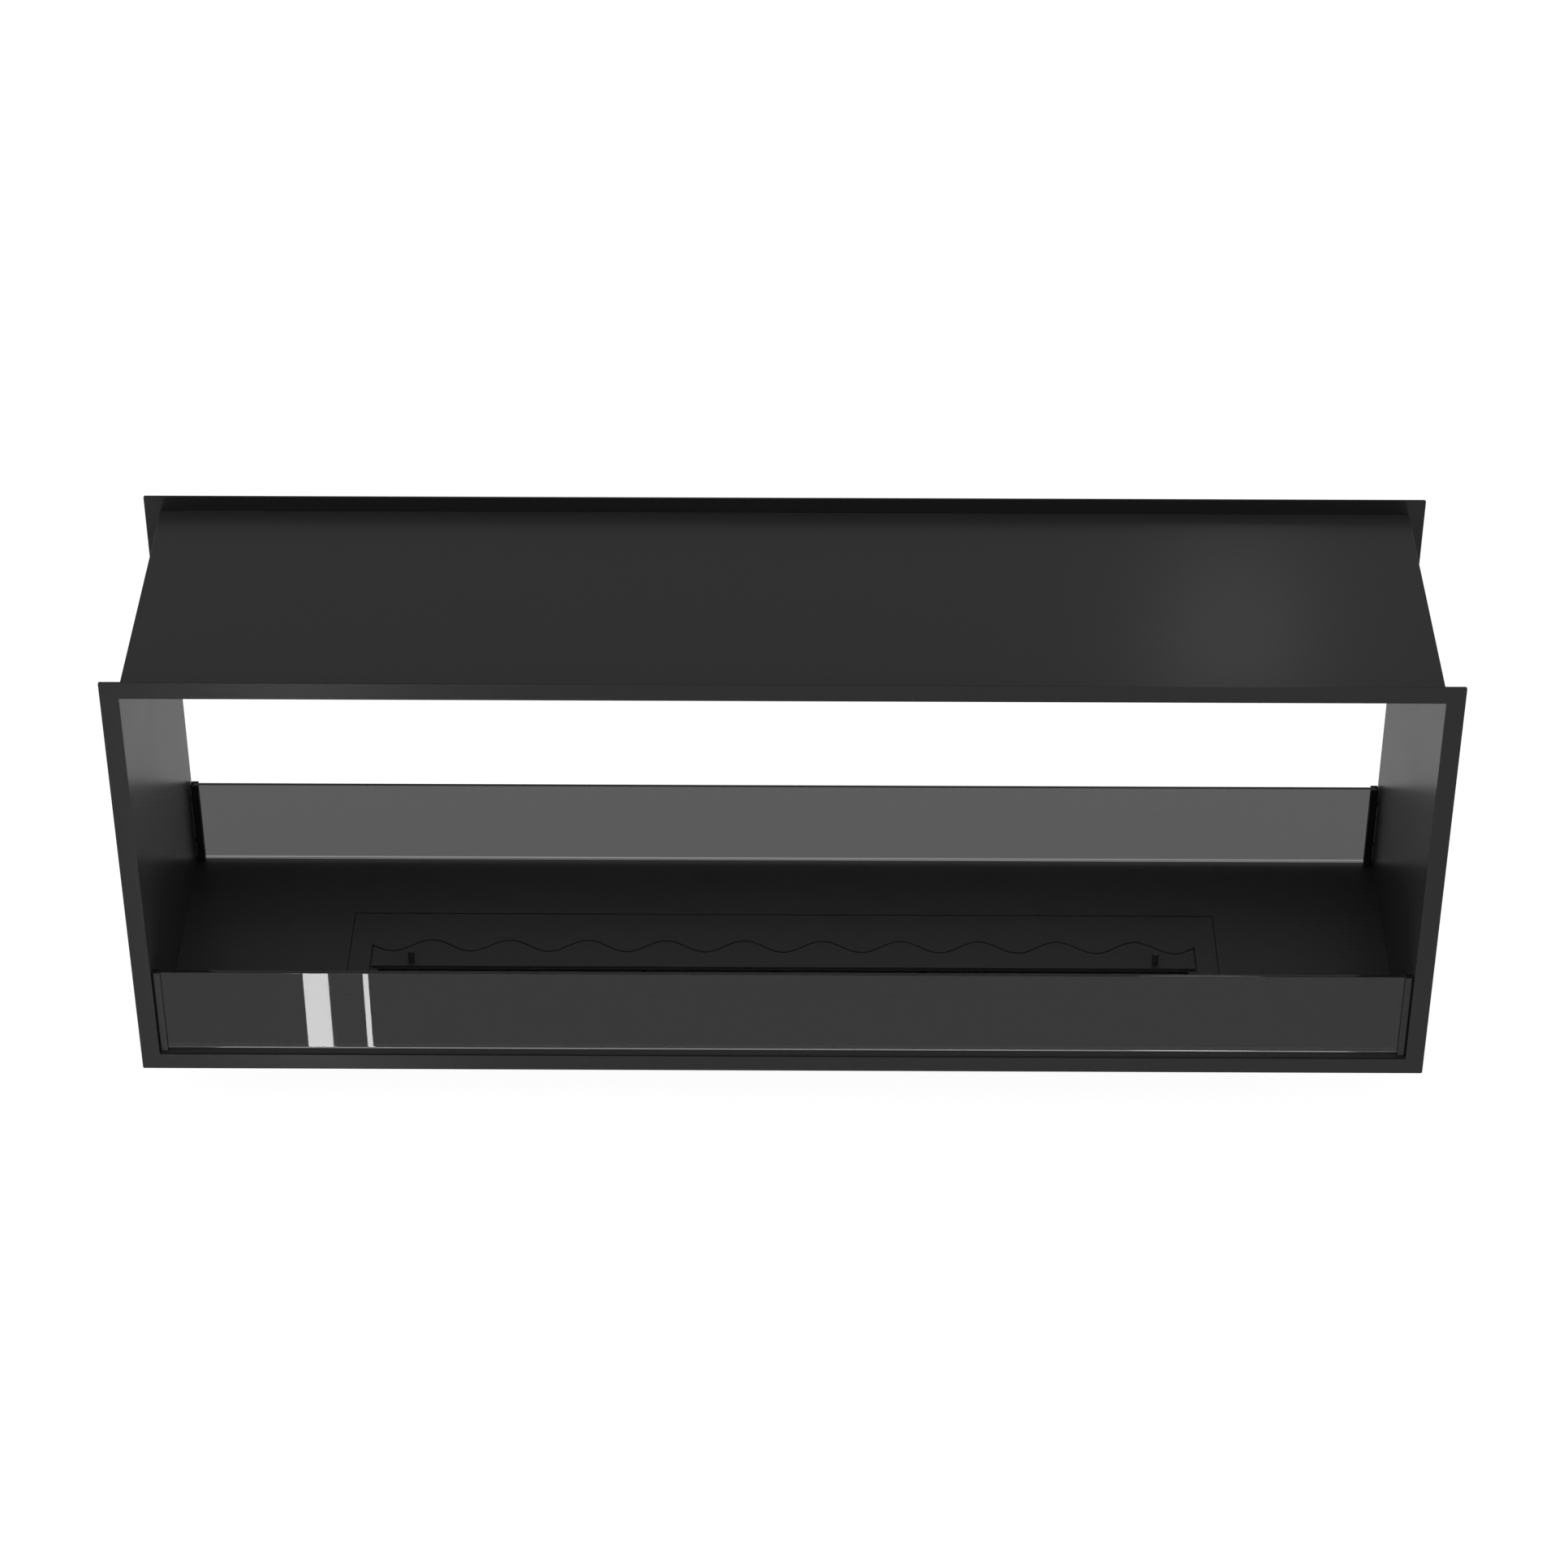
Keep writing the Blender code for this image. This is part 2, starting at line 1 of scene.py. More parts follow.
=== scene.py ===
"""Looks of a see-through built-in bio-ethanol fireplace, made around its packed frame."""
import json
import random
from math import atan2, cos, hypot, pi, radians, sin, sqrt

import bmesh
import bpy
from bpy.props import FloatProperty, FloatVectorProperty, IntProperty, PointerProperty
from bpy.types import Operator, PropertyGroup
from mathutils import Matrix, Vector


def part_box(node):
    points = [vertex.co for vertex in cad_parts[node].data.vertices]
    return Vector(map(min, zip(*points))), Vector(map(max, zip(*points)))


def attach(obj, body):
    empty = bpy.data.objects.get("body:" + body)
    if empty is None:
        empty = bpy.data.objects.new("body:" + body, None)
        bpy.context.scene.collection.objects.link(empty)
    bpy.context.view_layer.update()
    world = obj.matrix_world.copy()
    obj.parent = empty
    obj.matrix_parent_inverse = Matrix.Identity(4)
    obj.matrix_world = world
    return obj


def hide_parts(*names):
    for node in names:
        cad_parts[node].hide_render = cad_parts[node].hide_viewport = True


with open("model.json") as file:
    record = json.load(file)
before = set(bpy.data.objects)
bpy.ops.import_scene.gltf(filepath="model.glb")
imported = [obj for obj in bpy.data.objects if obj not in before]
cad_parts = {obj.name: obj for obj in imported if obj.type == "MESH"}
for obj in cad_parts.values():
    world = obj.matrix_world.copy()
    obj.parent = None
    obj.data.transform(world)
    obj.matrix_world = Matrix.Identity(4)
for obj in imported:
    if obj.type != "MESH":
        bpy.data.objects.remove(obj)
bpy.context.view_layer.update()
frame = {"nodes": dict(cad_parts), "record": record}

bl_info = {
    "name": "See-through fireplace finish",
    "version": (1, 0, 0),
    "blender": (4, 5, 0),
    "location": "View3D > Sidebar > Fireplace",
    "description": "Models the fine pieces of a built-in fireplace and gives every piece its finish",
    "category": "Object",
}

MM = 0.001
NEAR = 1e-6  # places closer than this are one place
WHITE = (1, 1, 1, 1)
BODY_OF = {node: body for body, nodes in frame["record"]["behaviour"]["bodies"].items() for node in nodes}
PLATE_LOW, PLATE_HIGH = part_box("burner_top_plate")
LID_LOW, LID_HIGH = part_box("burner_lid")
FRAME_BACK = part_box("front_frame")[1].y
SIDE_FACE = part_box("right_side_panel")[1].x

# The camera's place in metres, how far it looks down and left in degrees, and its sensor in millimetres
VIEWPOINT = (0.020853, -3.142872, 2.557132)
LOOK_DOWN = 36.1547
LOOK_LEFT = 0.36546
SENSOR_WIDTH = 36

# Where the front glass shows the light strips: left and right edges, and lower and upper ends
STRIP_EDGES = {"light_strip_wide": (-0.4433, -0.4200), "light_strip_narrow": (-0.3878, -0.3829)}
STRIP_ENDS = (0.0, 0.62)

# The place on the top panel that the softbox faces, and the way from there to the softbox
SOFTBOX_FACES = Vector((0.403, -0.073, 0.465))
SOFTBOX_WAY = Vector((0.102, 0.822, 0.56))

FLOOR_DROP = 0.2 * MM  # keeps the floor clear of the object's underside
FOLDED = 0.5  # an edge that turns by more than this, in radians, is a fold
SIDE_BRACKETS = 0.1  # the brackets above this height are on the side panels
FLANGE = 14 * MM  # of the burner housing
PAD_RIM = 0.8 * MM
PAD_HOLLOW = 0.5 * MM
PAD_ROUND = 0.35 * MM
PIN_SHOULDER = 1 * MM
PIN_ROUND = 0.6 * MM
CHAMFER = 0.3 * MM  # of pins and screws
WOOL_ROUND = 1.6 * MM
WOOL_SLACK = 0.8 * MM  # leaves room for the wool's lumps
SHANK = 2 * MM  # radius of screws and studs
SOCKET = 2.5 * MM  # across the flats of a screw's socket
HEAD_LIFT = 0.3 * MM  # a button head stands this far off the panel
NUT_HEIGHT = 3.2 * MM
NUT_CHAMFER = 0.35 * MM
BEADS_ALONG = 7  # stitch welds along the top, and as many along the base
BEADS_SPAN = 0.88  # their row as a share of the panel's width
BEADS_UP = (0.15, 0.5, 0.85)  # places of the side panels' stitch welds, as shares of the height
BEAD_RINGS = 24


def linear(code):
    """Turn an sRGB hex code into the linear colour that shaders take."""
    parts = [int(code[start:start + 2], 16) / 255 for start in (0, 2, 4)]
    return tuple(part / 12.92 if part <= 0.04045 else ((part + 0.055) / 1.055) ** 2.4 for part in parts)


# ---------------- settings

def distance(name, description, metres):
    """A distance among the settings."""
    return FloatProperty(name=name, description=description, subtype="DISTANCE", default=metres)


def fraction(name, description, value):
    """A number from 0 to 1 among the settings."""
    return FloatProperty(name=name, description=description, subtype="FACTOR", default=value, min=0, max=1)


def hex_colour(name, description, code):
    """A colour among the settings, from its sRGB hex code."""
    return FloatVectorProperty(name=name, description=description, subtype="COLOR", default=linear(code),
                               min=0, max=1)


class SheetSettings(PropertyGroup):
    """Sheet metal and its coats"""

    frame_colour: hex_colour("Frame coat", "Powder coat of the two frames", "222222")
    frame_sheen: fraction("Frame sheen", "Specular level of the frames' coat", 0.17)
    panel_colour: hex_colour("Panel coat", "Powder coat of the tunnel and housing", "2F2F2F")
    panel_sheen: fraction("Panel sheen", "Specular level of the panels' coat", 0.13)
    panel_roughness: fraction("Panel roughness", "Mattness of the panels' coat", 0.29)
    channel_colour: hex_colour("Channel coat", "Powder coat of the glass channels", "1C1C1C")
    channel_sheen: fraction("Channel sheen", "Specular level of the channels' coat", 0.26)
    coat_roughness: fraction("Coat roughness", "Mattness of the frames' and channels' coat", 0.25)
    peel: distance("Orange peel", "Distance between the dimples of the powder coat", 2.6 * MM)
    fold: distance("Fold radius", "Outer radius of a fold in the thin sheet", 1.9 * MM)
    thick_fold: distance("Thick fold radius", "Outer radius of a fold in the thick sheet", 2.3 * MM)
    thin: distance("Thin sheet", "Thickness of the channels, the housing and the tank", 1.5 * MM)
    thick: distance("Thick sheet", "Thickness of the brackets, the plate and the lid", 2 * MM)
    edge: distance("Cut edge", "Softening of a laser-cut edge under its coat", 0.25 * MM)
    bead_length: distance("Weld length", "Length of one stitch weld", 18 * MM)
    bead_width: distance("Weld width", "Leg of one stitch weld", 3 * MM)


class GlassSettings(PropertyGroup):
    """Smoked glass screens and their pads"""

    tint: hex_colour("Tint", "What a pane lets through", "5E5E5F")
    arris: distance("Arris", "Ground edge of a pane", 0.5 * MM)
    index: FloatProperty(name="Refraction", description="Refractive index of the glass", default=1.45,
                         min=1, max=2)
    # Painted highlight: a lighter tint in a band at the foot of each pane stands in for the bright line of
    # light along the glass's lower edge; the heights below set the band.
    highlight_band_tint: hex_colour("Bare edge", "What the glass lets through below its smoke film", "C4C4C4")
    highlight_band_front: distance("Bare front", "Bare height at the foot of a pane's front face", 2.2 * MM)
    highlight_band_rear: distance("Bare rear", "Bare height at the foot of a pane's rear face", 4 * MM)
    rear_share: fraction("Rear share", "The rear pane's bare heights as a share of the front's", 0.45)
    rubber_colour: hex_colour("Rubber", "Silicone of the setting pads", "2A2A2A")


class BurnerSettings(PropertyGroup):
    """Burner plate, lid, tank and wool"""

    paint_colour: hex_colour("Heat paint", "Heat-proof paint of plate, lid and tunnel base", "323232")
    paint_sheen: fraction("Paint sheen", "Specular level of the heat-proof paint", 0.22)
    recess_half: distance("Recess half width", "Middle to end of the lid's recess", 398 * MM)
    recess_front: distance("Recess front", "Depth of the recess's straight edge", -51 * MM)
    wave_mean: distance("Wave middle", "Middle line of the wavy edge", 12.7 * MM)
    wave_height: distance("Wave height", "Middle line to crest", 8.6 * MM)
    wave_pitch: distance("Wave pitch", "Crest to crest", 75.6 * MM)
    wave_steps: IntProperty(name="Wave steps", description="Outline points in one wave", default=32, min=8)
    lid_gap: distance("Lid gap", "Air between the lid and the wavy edge", 1.6 * MM)
    wool_colour: hex_colour("Wool", "Clean ceramic fibre", "DAD7CF")
    # A darker colour that the fibre turns to towards its top
    darker_top_colour: hex_colour("Soot", "Ceramic fibre that the flames have blackened", "6E6C68")


class StageSettings(PropertyGroup):
    """Floor, lights and camera"""

    floor_size: distance("Floor", "Side of the pale floor", 30.0)
    floor_shade: fraction("Floor shade", "Share of the light that the floor throws back", 0.14)
    floor_glow: fraction("Floor glow", "Brightness that the floor has of its own", 0.95)
    surround: fraction("Surround", "Mean brightness of the white surround", 0.69)
    rear_fall: fraction("Rear fall", "How much darker the surround is behind", 0.21)
    top_fall: fraction("Top fall", "How much darker the surround is above", 0.12)
    softbox_power: FloatProperty(name="Softbox power", description="Power of the small softbox",
                                 subtype="POWER", default=0.0115)
    softbox_size: distance("Softbox size", "Width of the small softbox", 0.16)
    softbox_distance: distance("Softbox distance", "Top panel to the softbox", 1.1)
    softbox_spread: FloatProperty(name="Softbox spread", description="Angle of the softbox's beam",
                                  subtype="ANGLE", default=radians(50))
    strip_glow: FloatProperty(name="Strip glow", description="Brightness of the strips", default=15.8)
    strip_distance: distance("Strip distance", "Front glass to the light strips", 1.5)
    lens: FloatProperty(name="Lens", description="Focal length in millimetres", default=95.391)


# ---------------- modelling helpers

def begin(name, primitive, **settings):
    """Add a primitive at the origin, with nothing else selected, and name it."""
    bpy.ops.object.select_all(action="DESELECT")
    primitive(location=(0, 0, 0), **settings)
    piece = bpy.context.object
    piece.name = name
    piece.data.name = name
    return piece


def edit(piece):
    """Go into edit mode with nothing selected and return the mesh to choose from."""
    bpy.context.view_layer.objects.active = piece
    bpy.ops.object.mode_set(mode="EDIT")
    bpy.ops.mesh.select_all(action="DESELECT")
    return bmesh.from_edit_mesh(piece.data)


def choose(piece, kind, test):
    """In edit mode, select only the corners, edges or faces for which the test holds."""
    bpy.ops.mesh.select_mode(type=kind)
    bpy.ops.mesh.select_all(action="DESELECT")
    mesh = bmesh.from_edit_mesh(piece.data)
    items = {"VERT": mesh.verts, "EDGE": mesh.edges, "FACE": mesh.faces}[kind]
    for item in items:
        item.select_set(bool(test(item)))
    mesh.select_flush_mode()
    bmesh.update_edit_mesh(piece.data)


def choose_all():
    """In edit mode, select everything."""
    bpy.ops.mesh.select_all(action="SELECT")


def extrude(offset):
    """Extrude what is selected by an offset."""
    bpy.ops.mesh.extrude_region_move(TRANSFORM_OT_translate={"value": offset})


def done(closed=True):
    """Make a closed shape's faces point outwards and leave edit mode."""
    if closed:
        choose_all()
        bpy.ops.mesh.normals_make_consistent(inside=False)
    bpy.ops.object.mode_set(mode="OBJECT")


def modify(piece, kind, **settings):
    """Add a modifier and apply it."""
    bpy.ops.object.select_all(action="DESELECT")
    piece.select_set(True)
    bpy.context.view_layer.objects.active = piece
    modifier = piece.modifiers.new(kind.lower(), kind)
    for key, value in settings.items():
        setattr(modifier, key, value)
    bpy.ops.object.modifier_apply(modifier=modifier.name)


def shade(degrees):
    """Shade the piece at hand smooth, but for edges that turn by more than this."""
    bpy.ops.object.shade_smooth_by_angle(angle=radians(degrees))


def soften(piece, width, segments=2, angle=40):
    """Round off the sharp edges, shade them smooth and keep the broad faces flat."""
    modify(piece, "BEVEL", width=width, segments=segments, limit_method="ANGLE",
           angle_limit=radians(angle), use_clamp_overlap=True)
    shade(50)
    modify(piece, "WEIGHTED_NORMAL", mode="FACE_AREA", weight=100, keep_sharp=True)


def middle(item):
    """Middle of an edge or face."""
    return sum((corner.co for corner in item.verts), Vector()) / len(item.verts)


def box_piece(name, low, high):
    """A block from its lowest to its highest corner, to be shaped further."""
    piece = begin(name, bpy.ops.mesh.primitive_cube_add, size=1)
    edit(piece)
    choose_all()
    bpy.ops.transform.resize(value=high - low)
    bpy.ops.transform.translate(value=(low + high) / 2)
    done()
    return piece


def turned_piece(name, profile, sides=48):
    """A turned piece about the Z axis: each radius and height is extruded from the one below."""
    radius, height = profile[0]
    piece = begin(name, bpy.ops.mesh.primitive_circle_add, vertices=sides, radius=radius, fill_type="NGON")
    edit(piece)
    choose_all()
    bpy.ops.transform.translate(value=(0, 0, height))
    for next_radius, next_height in profile[1:]:
        extrude((0, 0, next_height - height))
        share = next_radius / radius
        bpy.ops.transform.resize(value=(share, share, 1))
        radius, height = next_radius, next_height
    done()
    return piece


def arc(radius, height, corner, steps=4):
    """Profile points that round a turned piece's top edge down to the given corner radius."""
    for step in range(1, steps + 1):
        turn = pi / 2 * step / steps
        yield radius - corner * (1 - cos(turn)), height - corner * (1 - sin(turn))


def hexagon_reach(turn, across):
    """Middle to outline of a hexagon, in the direction turned this far from the middle of a side."""
    from_flat = (turn + pi / 6) % (pi / 3) - pi / 6
    return across / 2 / cos(from_flat)


def sink_hexagon(piece, across, depth, rim=0.2 * MM):
    """Press a hexagon socket into the top face of a turned piece."""
    edit(piece)
    top = max(corner.co.z for corner in bmesh.from_edit_mesh(piece.data).verts)
    choose(piece, "FACE", lambda face: middle(face).z > top - NEAR)
    bpy.ops.mesh.inset(thickness=rim)
    mesh = bmesh.from_edit_mesh(piece.data)
    for corner in {corner for face in mesh.faces if face.select for corner in face.verts}:
        turn = atan2(corner.co.y, corner.co.x)
        reach = hexagon_reach(turn, across)
        corner.co.x = reach * cos(turn)
        corner.co.y = reach * sin(turn)
    bmesh.update_edit_mesh(piece.data)
    extrude((0, 0, -depth))
    # The drill's point leaves a shallow cone in the socket's floor
    bpy.ops.mesh.inset(thickness=across * 0.35, depth=-depth * 0.2)
    done()


def start_card(name, corners):
    """A flat four-cornered card, left in edit mode."""
    card = begin(name, bpy.ops.mesh.primitive_plane_add, size=1)
    mesh = edit(card)
    for corner, place in zip(mesh.faces[:][0].verts, corners):
        corner.co = place
    bmesh.update_edit_mesh(card.data)
    return card


def folded_piece(name, path, sweep, thickness, fold, edge, side=-1):
    """Sheet metal folded along a path of outer points and as long as the sweep."""
    path = [Vector(point) for point in path]
    sweep = Vector(sweep)
    piece = start_card(name, (path[0], path[1], path[1] + sweep, path[0] + sweep))
    for start, end in zip(path[1:], path[2:]):
        centre = start + sweep / 2
        choose(piece, "EDGE", lambda item: (middle(item) - centre).length < NEAR)
        extrude(end - start)
    folds = [point + sweep / 2 for point in path[1:-1]]
    choose(piece, "EDGE", lambda item: min((middle(item) - place).length for place in folds) < NEAR)
    bpy.ops.mesh.bevel(offset=fold, offset_type="OFFSET", segments=5, affect="EDGES")
    done(closed=False)
    modify(piece, "SOLIDIFY", thickness=thickness, offset=side, use_even_offset=True)
    soften(piece, edge, angle=60)
    return piece


def pan_piece(name, low, high, thickness, fold, edge, flange=0.0):
    """An open-topped sheet-metal pan with rounded folds, and a flange turned outwards if it has one."""
    if flange:
        high = high - Vector((0, 0, thickness))
    piece = box_piece(name, low, high)
    edit(piece)
    choose(piece, "FACE", lambda face: face.normal.z > 0.9)
    bpy.ops.mesh.delete(type="ONLY_FACE")
    if flange:
        choose(piece, "EDGE", lambda item: middle(item).z > high.z - NEAR)
        centre = (low + high) / 2
        half = (high - low) / 2
        extrude((0, 0, 0))
        bpy.ops.transform.resize(value=((half.x + flange) / half.x, (half.y + flange) / half.y, 1),
                                 center_override=(centre.x, centre.y, high.z))
    choose(piece, "EDGE", lambda item: len(item.link_faces) == 2 and item.calc_face_angle() > FOLDED)
    bpy.ops.mesh.bevel(offset=fold, offset_type="OFFSET", segments=4, affect="EDGES")
    done(closed=False)
    modify(piece, "SOLIDIFY", thickness=thickness, offset=-1, use_even_offset=True)
    soften(piece, edge, angle=60)
    return piece


def wave(x, mean, settings):
    """Depth of the wavy edge at x."""
    return mean - settings.wave_height * cos(2 * pi * x / settings.wave_pitch)


def wavy_sheet(name, columns, rows, bottom, thickness, edge, hole=None):
    """A cut sheet on a grid of columns and rows, where a row may be a formula of x."""
    piece = begin(name, bpy.ops.mesh.primitive_grid_add, size=1, x_subdivisions=len(columns) - 1,
                  y_subdivisions=len(rows) - 1)
    mesh = edit(piece)
    for corner in mesh.verts:
        column = round((corner.co.x + 0.5) * (len(columns) - 1))
        row = round((corner.co.y + 0.5) * (len(rows) - 1))
        x = columns[column]
        depth = rows[row]
        corner.co = (x, depth(x) if callable(depth) else depth, bottom)
    bmesh.update_edit_mesh(piece.data)
    if hole:
        choose(piece, "FACE", lambda face: hole(middle(face)))
        bpy.ops.mesh.delete(type="FACE")
    choose_all()
    extrude((0, 0, thickness))
    done()
    soften(piece, edge, angle=50)
    return piece


def copies(pattern, places):
    """Copy a pattern piece, each copy with its own mesh, by name and matrix; the pattern goes."""
    made = []
    for name, place in places:
        mesh = pattern.data.copy()
        mesh.name = name
        mesh.transform(place)
        piece = bpy.data.objects.new(name, mesh)
        bpy.context.scene.collection.objects.link(piece)
        made.append(piece)
    bpy.data.objects.remove(pattern)
    return made


def stands_for(piece, node, material):
    """Let a new piece take the place of a CAD node of the same kind."""
    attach(piece, BODY_OF[node])
    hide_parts(node)
    dress(piece, material)


def dress(piece, material):
    """Give a piece its material."""
    piece.data.materials.clear()
    piece.data.materials.append(material)


def dress_nodes(nodes, material):
    """Give CAD nodes, which keep their meshes, a material."""
    for node in nodes:
        dress(frame["nodes"][node], material)


def nodes_from(prefix):
    """The CAD nodes whose names start so, in the frame's order."""
    return [name for name in frame["nodes"] if name.startswith(prefix)]


def put_for(nodes, pattern, prefix, place_of, material):
    """Let a copy of a pattern piece stand for each CAD node, at the place made from the node's box."""
    places = [(prefix + node, place_of(node, *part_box(node))) for node in nodes]
    for piece, node in zip(copies(pattern, places), nodes):
        stands_for(piece, node, material)


# ---------------- materials

def start_material(name, colour, **settings):
    """Make a material with a Principled shader."""
    if name in bpy.data.materials:
        bpy.data.materials.remove(bpy.data.materials[name])
    material = bpy.data.materials.new(name)
    material.use_nodes = True
    shader = material.node_tree.nodes["Principled BSDF"]
    shader.inputs["Base Color"].default_value = (*colour, 1)
    for socket, value in settings.items():
        shader.inputs[socket.replace("_", " ")].default_value = value
    return material


def start_textured(name, colour, **settings):
    """Start a material and return it with its node tree and the place on the piece for its textures."""
    material = start_material(name, colour, **settings)
    tree = material.node_tree
    return material, tree, add_node(tree, "TexCoord", {}).outputs["Object"]


def link_inputs(node, links):
    """Link a node's inputs from outputs, or from the first outputs of nodes."""
    for key, source in links.items():
        output = source.outputs[0] if hasattr(source, "outputs") else source
        node.id_data.links.new(output, node.inputs[key])


def link_shader(tree, **links):
    """Link the Principled shader's inputs."""
    shader = tree.nodes["Principled BSDF"]
    link_inputs(shader, {key.replace("_", " "): source for key, source in links.items()})


def add_node(tree, kind, settings, links=None):
    """Add a node, set its fields and sockets, and link its inputs from other nodes."""
    node = tree.nodes.new("ShaderNode" + kind)
    for key, value in settings.items():
        if isinstance(key, int) or key in node.inputs:
            node.inputs[key].default_value = value
        else:
            setattr(node, key, value)
    link_inputs(node, links or {})
    return node


def shades(colour, low, high):
    """Settings of a node that mixes a colour made darker with the same made lighter."""
    dark, light = ((*(part * share for part in colour), 1) for share in (low, high))
    return {"data_type": "RGBA", 6: dark, 7: light}


def powder_coat(name, colour, roughness, peel, specular):
    """Matte polyester powder coat, sprayed and baked on steel: fine orange peel breaks up its sheen."""
    material, tree, place = start_textured(name, colour, Specular_IOR_Level=specular)
    dimples = add_node(tree, "TexNoise", {"Scale": 1 / peel, "Detail": 3.0, "Roughness": 0.55},
                       {"Vector": place})
    grit = add_node(tree, "TexNoise", {"Scale": 1 / (0.9 * MM), "Detail": 1.0}, {"Vector": place})
    drift = add_node(tree, "TexNoise", {"Scale": 1 / (140 * MM), "Detail": 2.0}, {"Vector": place})
    tone = add_node(tree, "Mix", shades(colour, 0.82, 1.18), {"Factor": grit})
    shine = add_node(tree, "MapRange", {"From Min": 0.3, "From Max": 0.7, "To Min": roughness - 0.01,
                                        "To Max": roughness + 0.01}, {"Value": drift})
    bump = add_node(tree, "Bump", {"Strength": 0.5, "Distance": 0.02 * MM}, {"Height": dimples})
    link_shader(tree, Base_Color=tone.outputs[2], Roughness=shine, Normal=bump)
    return material


# ---------------- stage

class FIREPLACE_OT_light_stage(Operator):
    """Lay the pale floor, light the object softly and set the camera"""

    bl_idname = "fireplace.light_stage"
    bl_label = "Floor, light and camera"

    def execute(self, context):
        settings = context.scene.fireplace_stage
        self.lay_floor(settings)
        self.hang_strips(settings)
        self.light_surround(context, settings)
        self.hang_softbox(context, settings)
        camera = bpy.data.cameras.new("camera")
        camera.lens = settings.lens
        camera.sensor_width = SENSOR_WIDTH
        camera.clip_end = 100
        viewer = bpy.data.objects.new("camera", camera)
        context.scene.collection.objects.link(viewer)
        viewer.location = VIEWPOINT
        viewer.rotation_euler = (radians(90 - LOOK_DOWN), 0, radians(LOOK_LEFT))
        context.scene.camera = viewer
        context.scene.view_settings.view_transform = "Standard"
        context.scene.view_settings.look = "None"
        return {"FINISHED"}

    def lay_floor(self, settings):
        """A matt floor that glows nearly white, so that it stays pale close to the object."""
        half = settings.floor_size / 2
        floor = start_card("floor", [(-half, -half, 0), (half, -half, 0), (half, half, 0), (-half, half, 0)])
        done(closed=False)
        floor.data.transform(Matrix.Translation((0, 0, -FLOOR_DROP)))
        paint = start_material("floor_matt_white_paint", [settings.floor_shade] * 3, Roughness=0.9,
                               Specular_IOR_Level=0.0, Emission_Color=WHITE,
                               Emission_Strength=settings.floor_glow)
        dress(floor, paint)
        # Gloss and glass mirror the white surround instead, which is as pale and has no horizon
        floor.visible_glossy = False

    def hang_strips(self, settings):
        """Two upright strips of light in front of the object, which only the front glass and gloss show."""
        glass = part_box("front_glass")[0].y
        mirror = glass - VIEWPOINT[1]
        reach = 1 + settings.strip_distance / mirror
        depth = glass - settings.strip_distance
        glow = start_material("light_strip_glow", (0, 0, 0), Emission_Color=WHITE,
                              Emission_Strength=settings.strip_glow)
        if hasattr(glow, "cycles"):
            glow.cycles.emission_sampling = "NONE"      # found by mirror rays alone, which pass the floor
        for name, edges in STRIP_EDGES.items():
            left, right = (VIEWPOINT[0] + (edge - VIEWPOINT[0]) * reach for edge in edges)
            low, high = (VIEWPOINT[2] + (end - VIEWPOINT[2]) * reach for end in STRIP_ENDS)
            strip = start_card(name, [(left, depth, low), (left, depth, high), (right, depth, high),
                                      (right, depth, low)])
            done(closed=False)
            dress(strip, glow)
            for rays in ("camera", "diffuse", "transmission", "shadow"):
                setattr(strip, "visible_" + rays, False)

    def light_surround(self, context, settings):
        """A white surround that gives most light from in front and below, and shows as plain white."""
        world = bpy.data.worlds.new("white_surround")
        world.use_nodes = True
        tree = world.node_tree
        background = tree.nodes["Background"]
        background.inputs["Color"].default_value = WHITE
        direction = add_node(tree, "TexCoord", {}).outputs["Generated"]
        split = add_node(tree, "SeparateXYZ", {}, {"Vector": direction})
        behind = add_node(tree, "Math", {"operation": "MULTIPLY_ADD", 1: -settings.rear_fall,
                                         2: settings.surround}, {0: split.outputs["Y"]})
        fall = add_node(tree, "Math", {"operation": "MULTIPLY_ADD", 1: -settings.top_fall},
                        {0: split.outputs["Z"], 2: behind})
        seen = add_node(tree, "LightPath", {}).outputs["Is Camera Ray"]
        shown = add_node(tree, "Mix", {"data_type": "FLOAT", 3: 1.0}, {0: seen, 2: fall})
        tree.links.new(shown.outputs[0], background.inputs["Strength"])
        context.scene.world = world

    def hang_softbox(self, context, settings):
        """A small softbox close behind the top panel, which mirrors it to the right of the middle."""
        data = bpy.data.lights.new("softbox", "AREA")
        data.shape = "DISK"
        data.size = settings.softbox_size
        data.energy = settings.softbox_power
        data.spread = settings.softbox_spread
        box = bpy.data.objects.new("softbox", data)
        context.scene.collection.objects.link(box)
        box.location = SOFTBOX_FACES + SOFTBOX_WAY * settings.softbox_distance
        box.rotation_euler = SOFTBOX_WAY.to_track_quat("Z", "Y").to_euler()
        box.visible_camera = False


# ---------------- sheet metal

class FIREPLACE_OT_coat_sheet(Operator):
    """Powder-coat the frames and the tunnel, and paint its base with the ledge under it"""

    bl_idname = "fireplace.coat_sheet"
    bl_label = "Frames and tunnel panels"

    def execute(self, context):
        settings = context.scene.fireplace_sheet
        coat = powder_coat("frame_powder_coat", settings.frame_colour, settings.coat_roughness, settings.peel,
                           settings.frame_sheen)
        dress_nodes(("front_frame", "rear_frame"), coat)
        dress_nodes(("top_panel", "left_side_panel", "right_side_panel"), panel_coat(settings))
        # The base takes the burner's heat, so it has the burner's paint
        dress_nodes(("base_panel", "burner_ledge"), heat_paint(context.scene.fireplace_burner))
        return {"FINISHED"}


def panel_coat(settings):
    """The coat that the tunnel's top and sides, the brackets, the welds and the housing share."""
    name = "panel_powder_coat"
    if name in bpy.data.materials:
        return bpy.data.materials[name]
    return powder_coat(name, settings.panel_colour, settings.panel_roughness, settings.peel,
                       settings.panel_sheen)


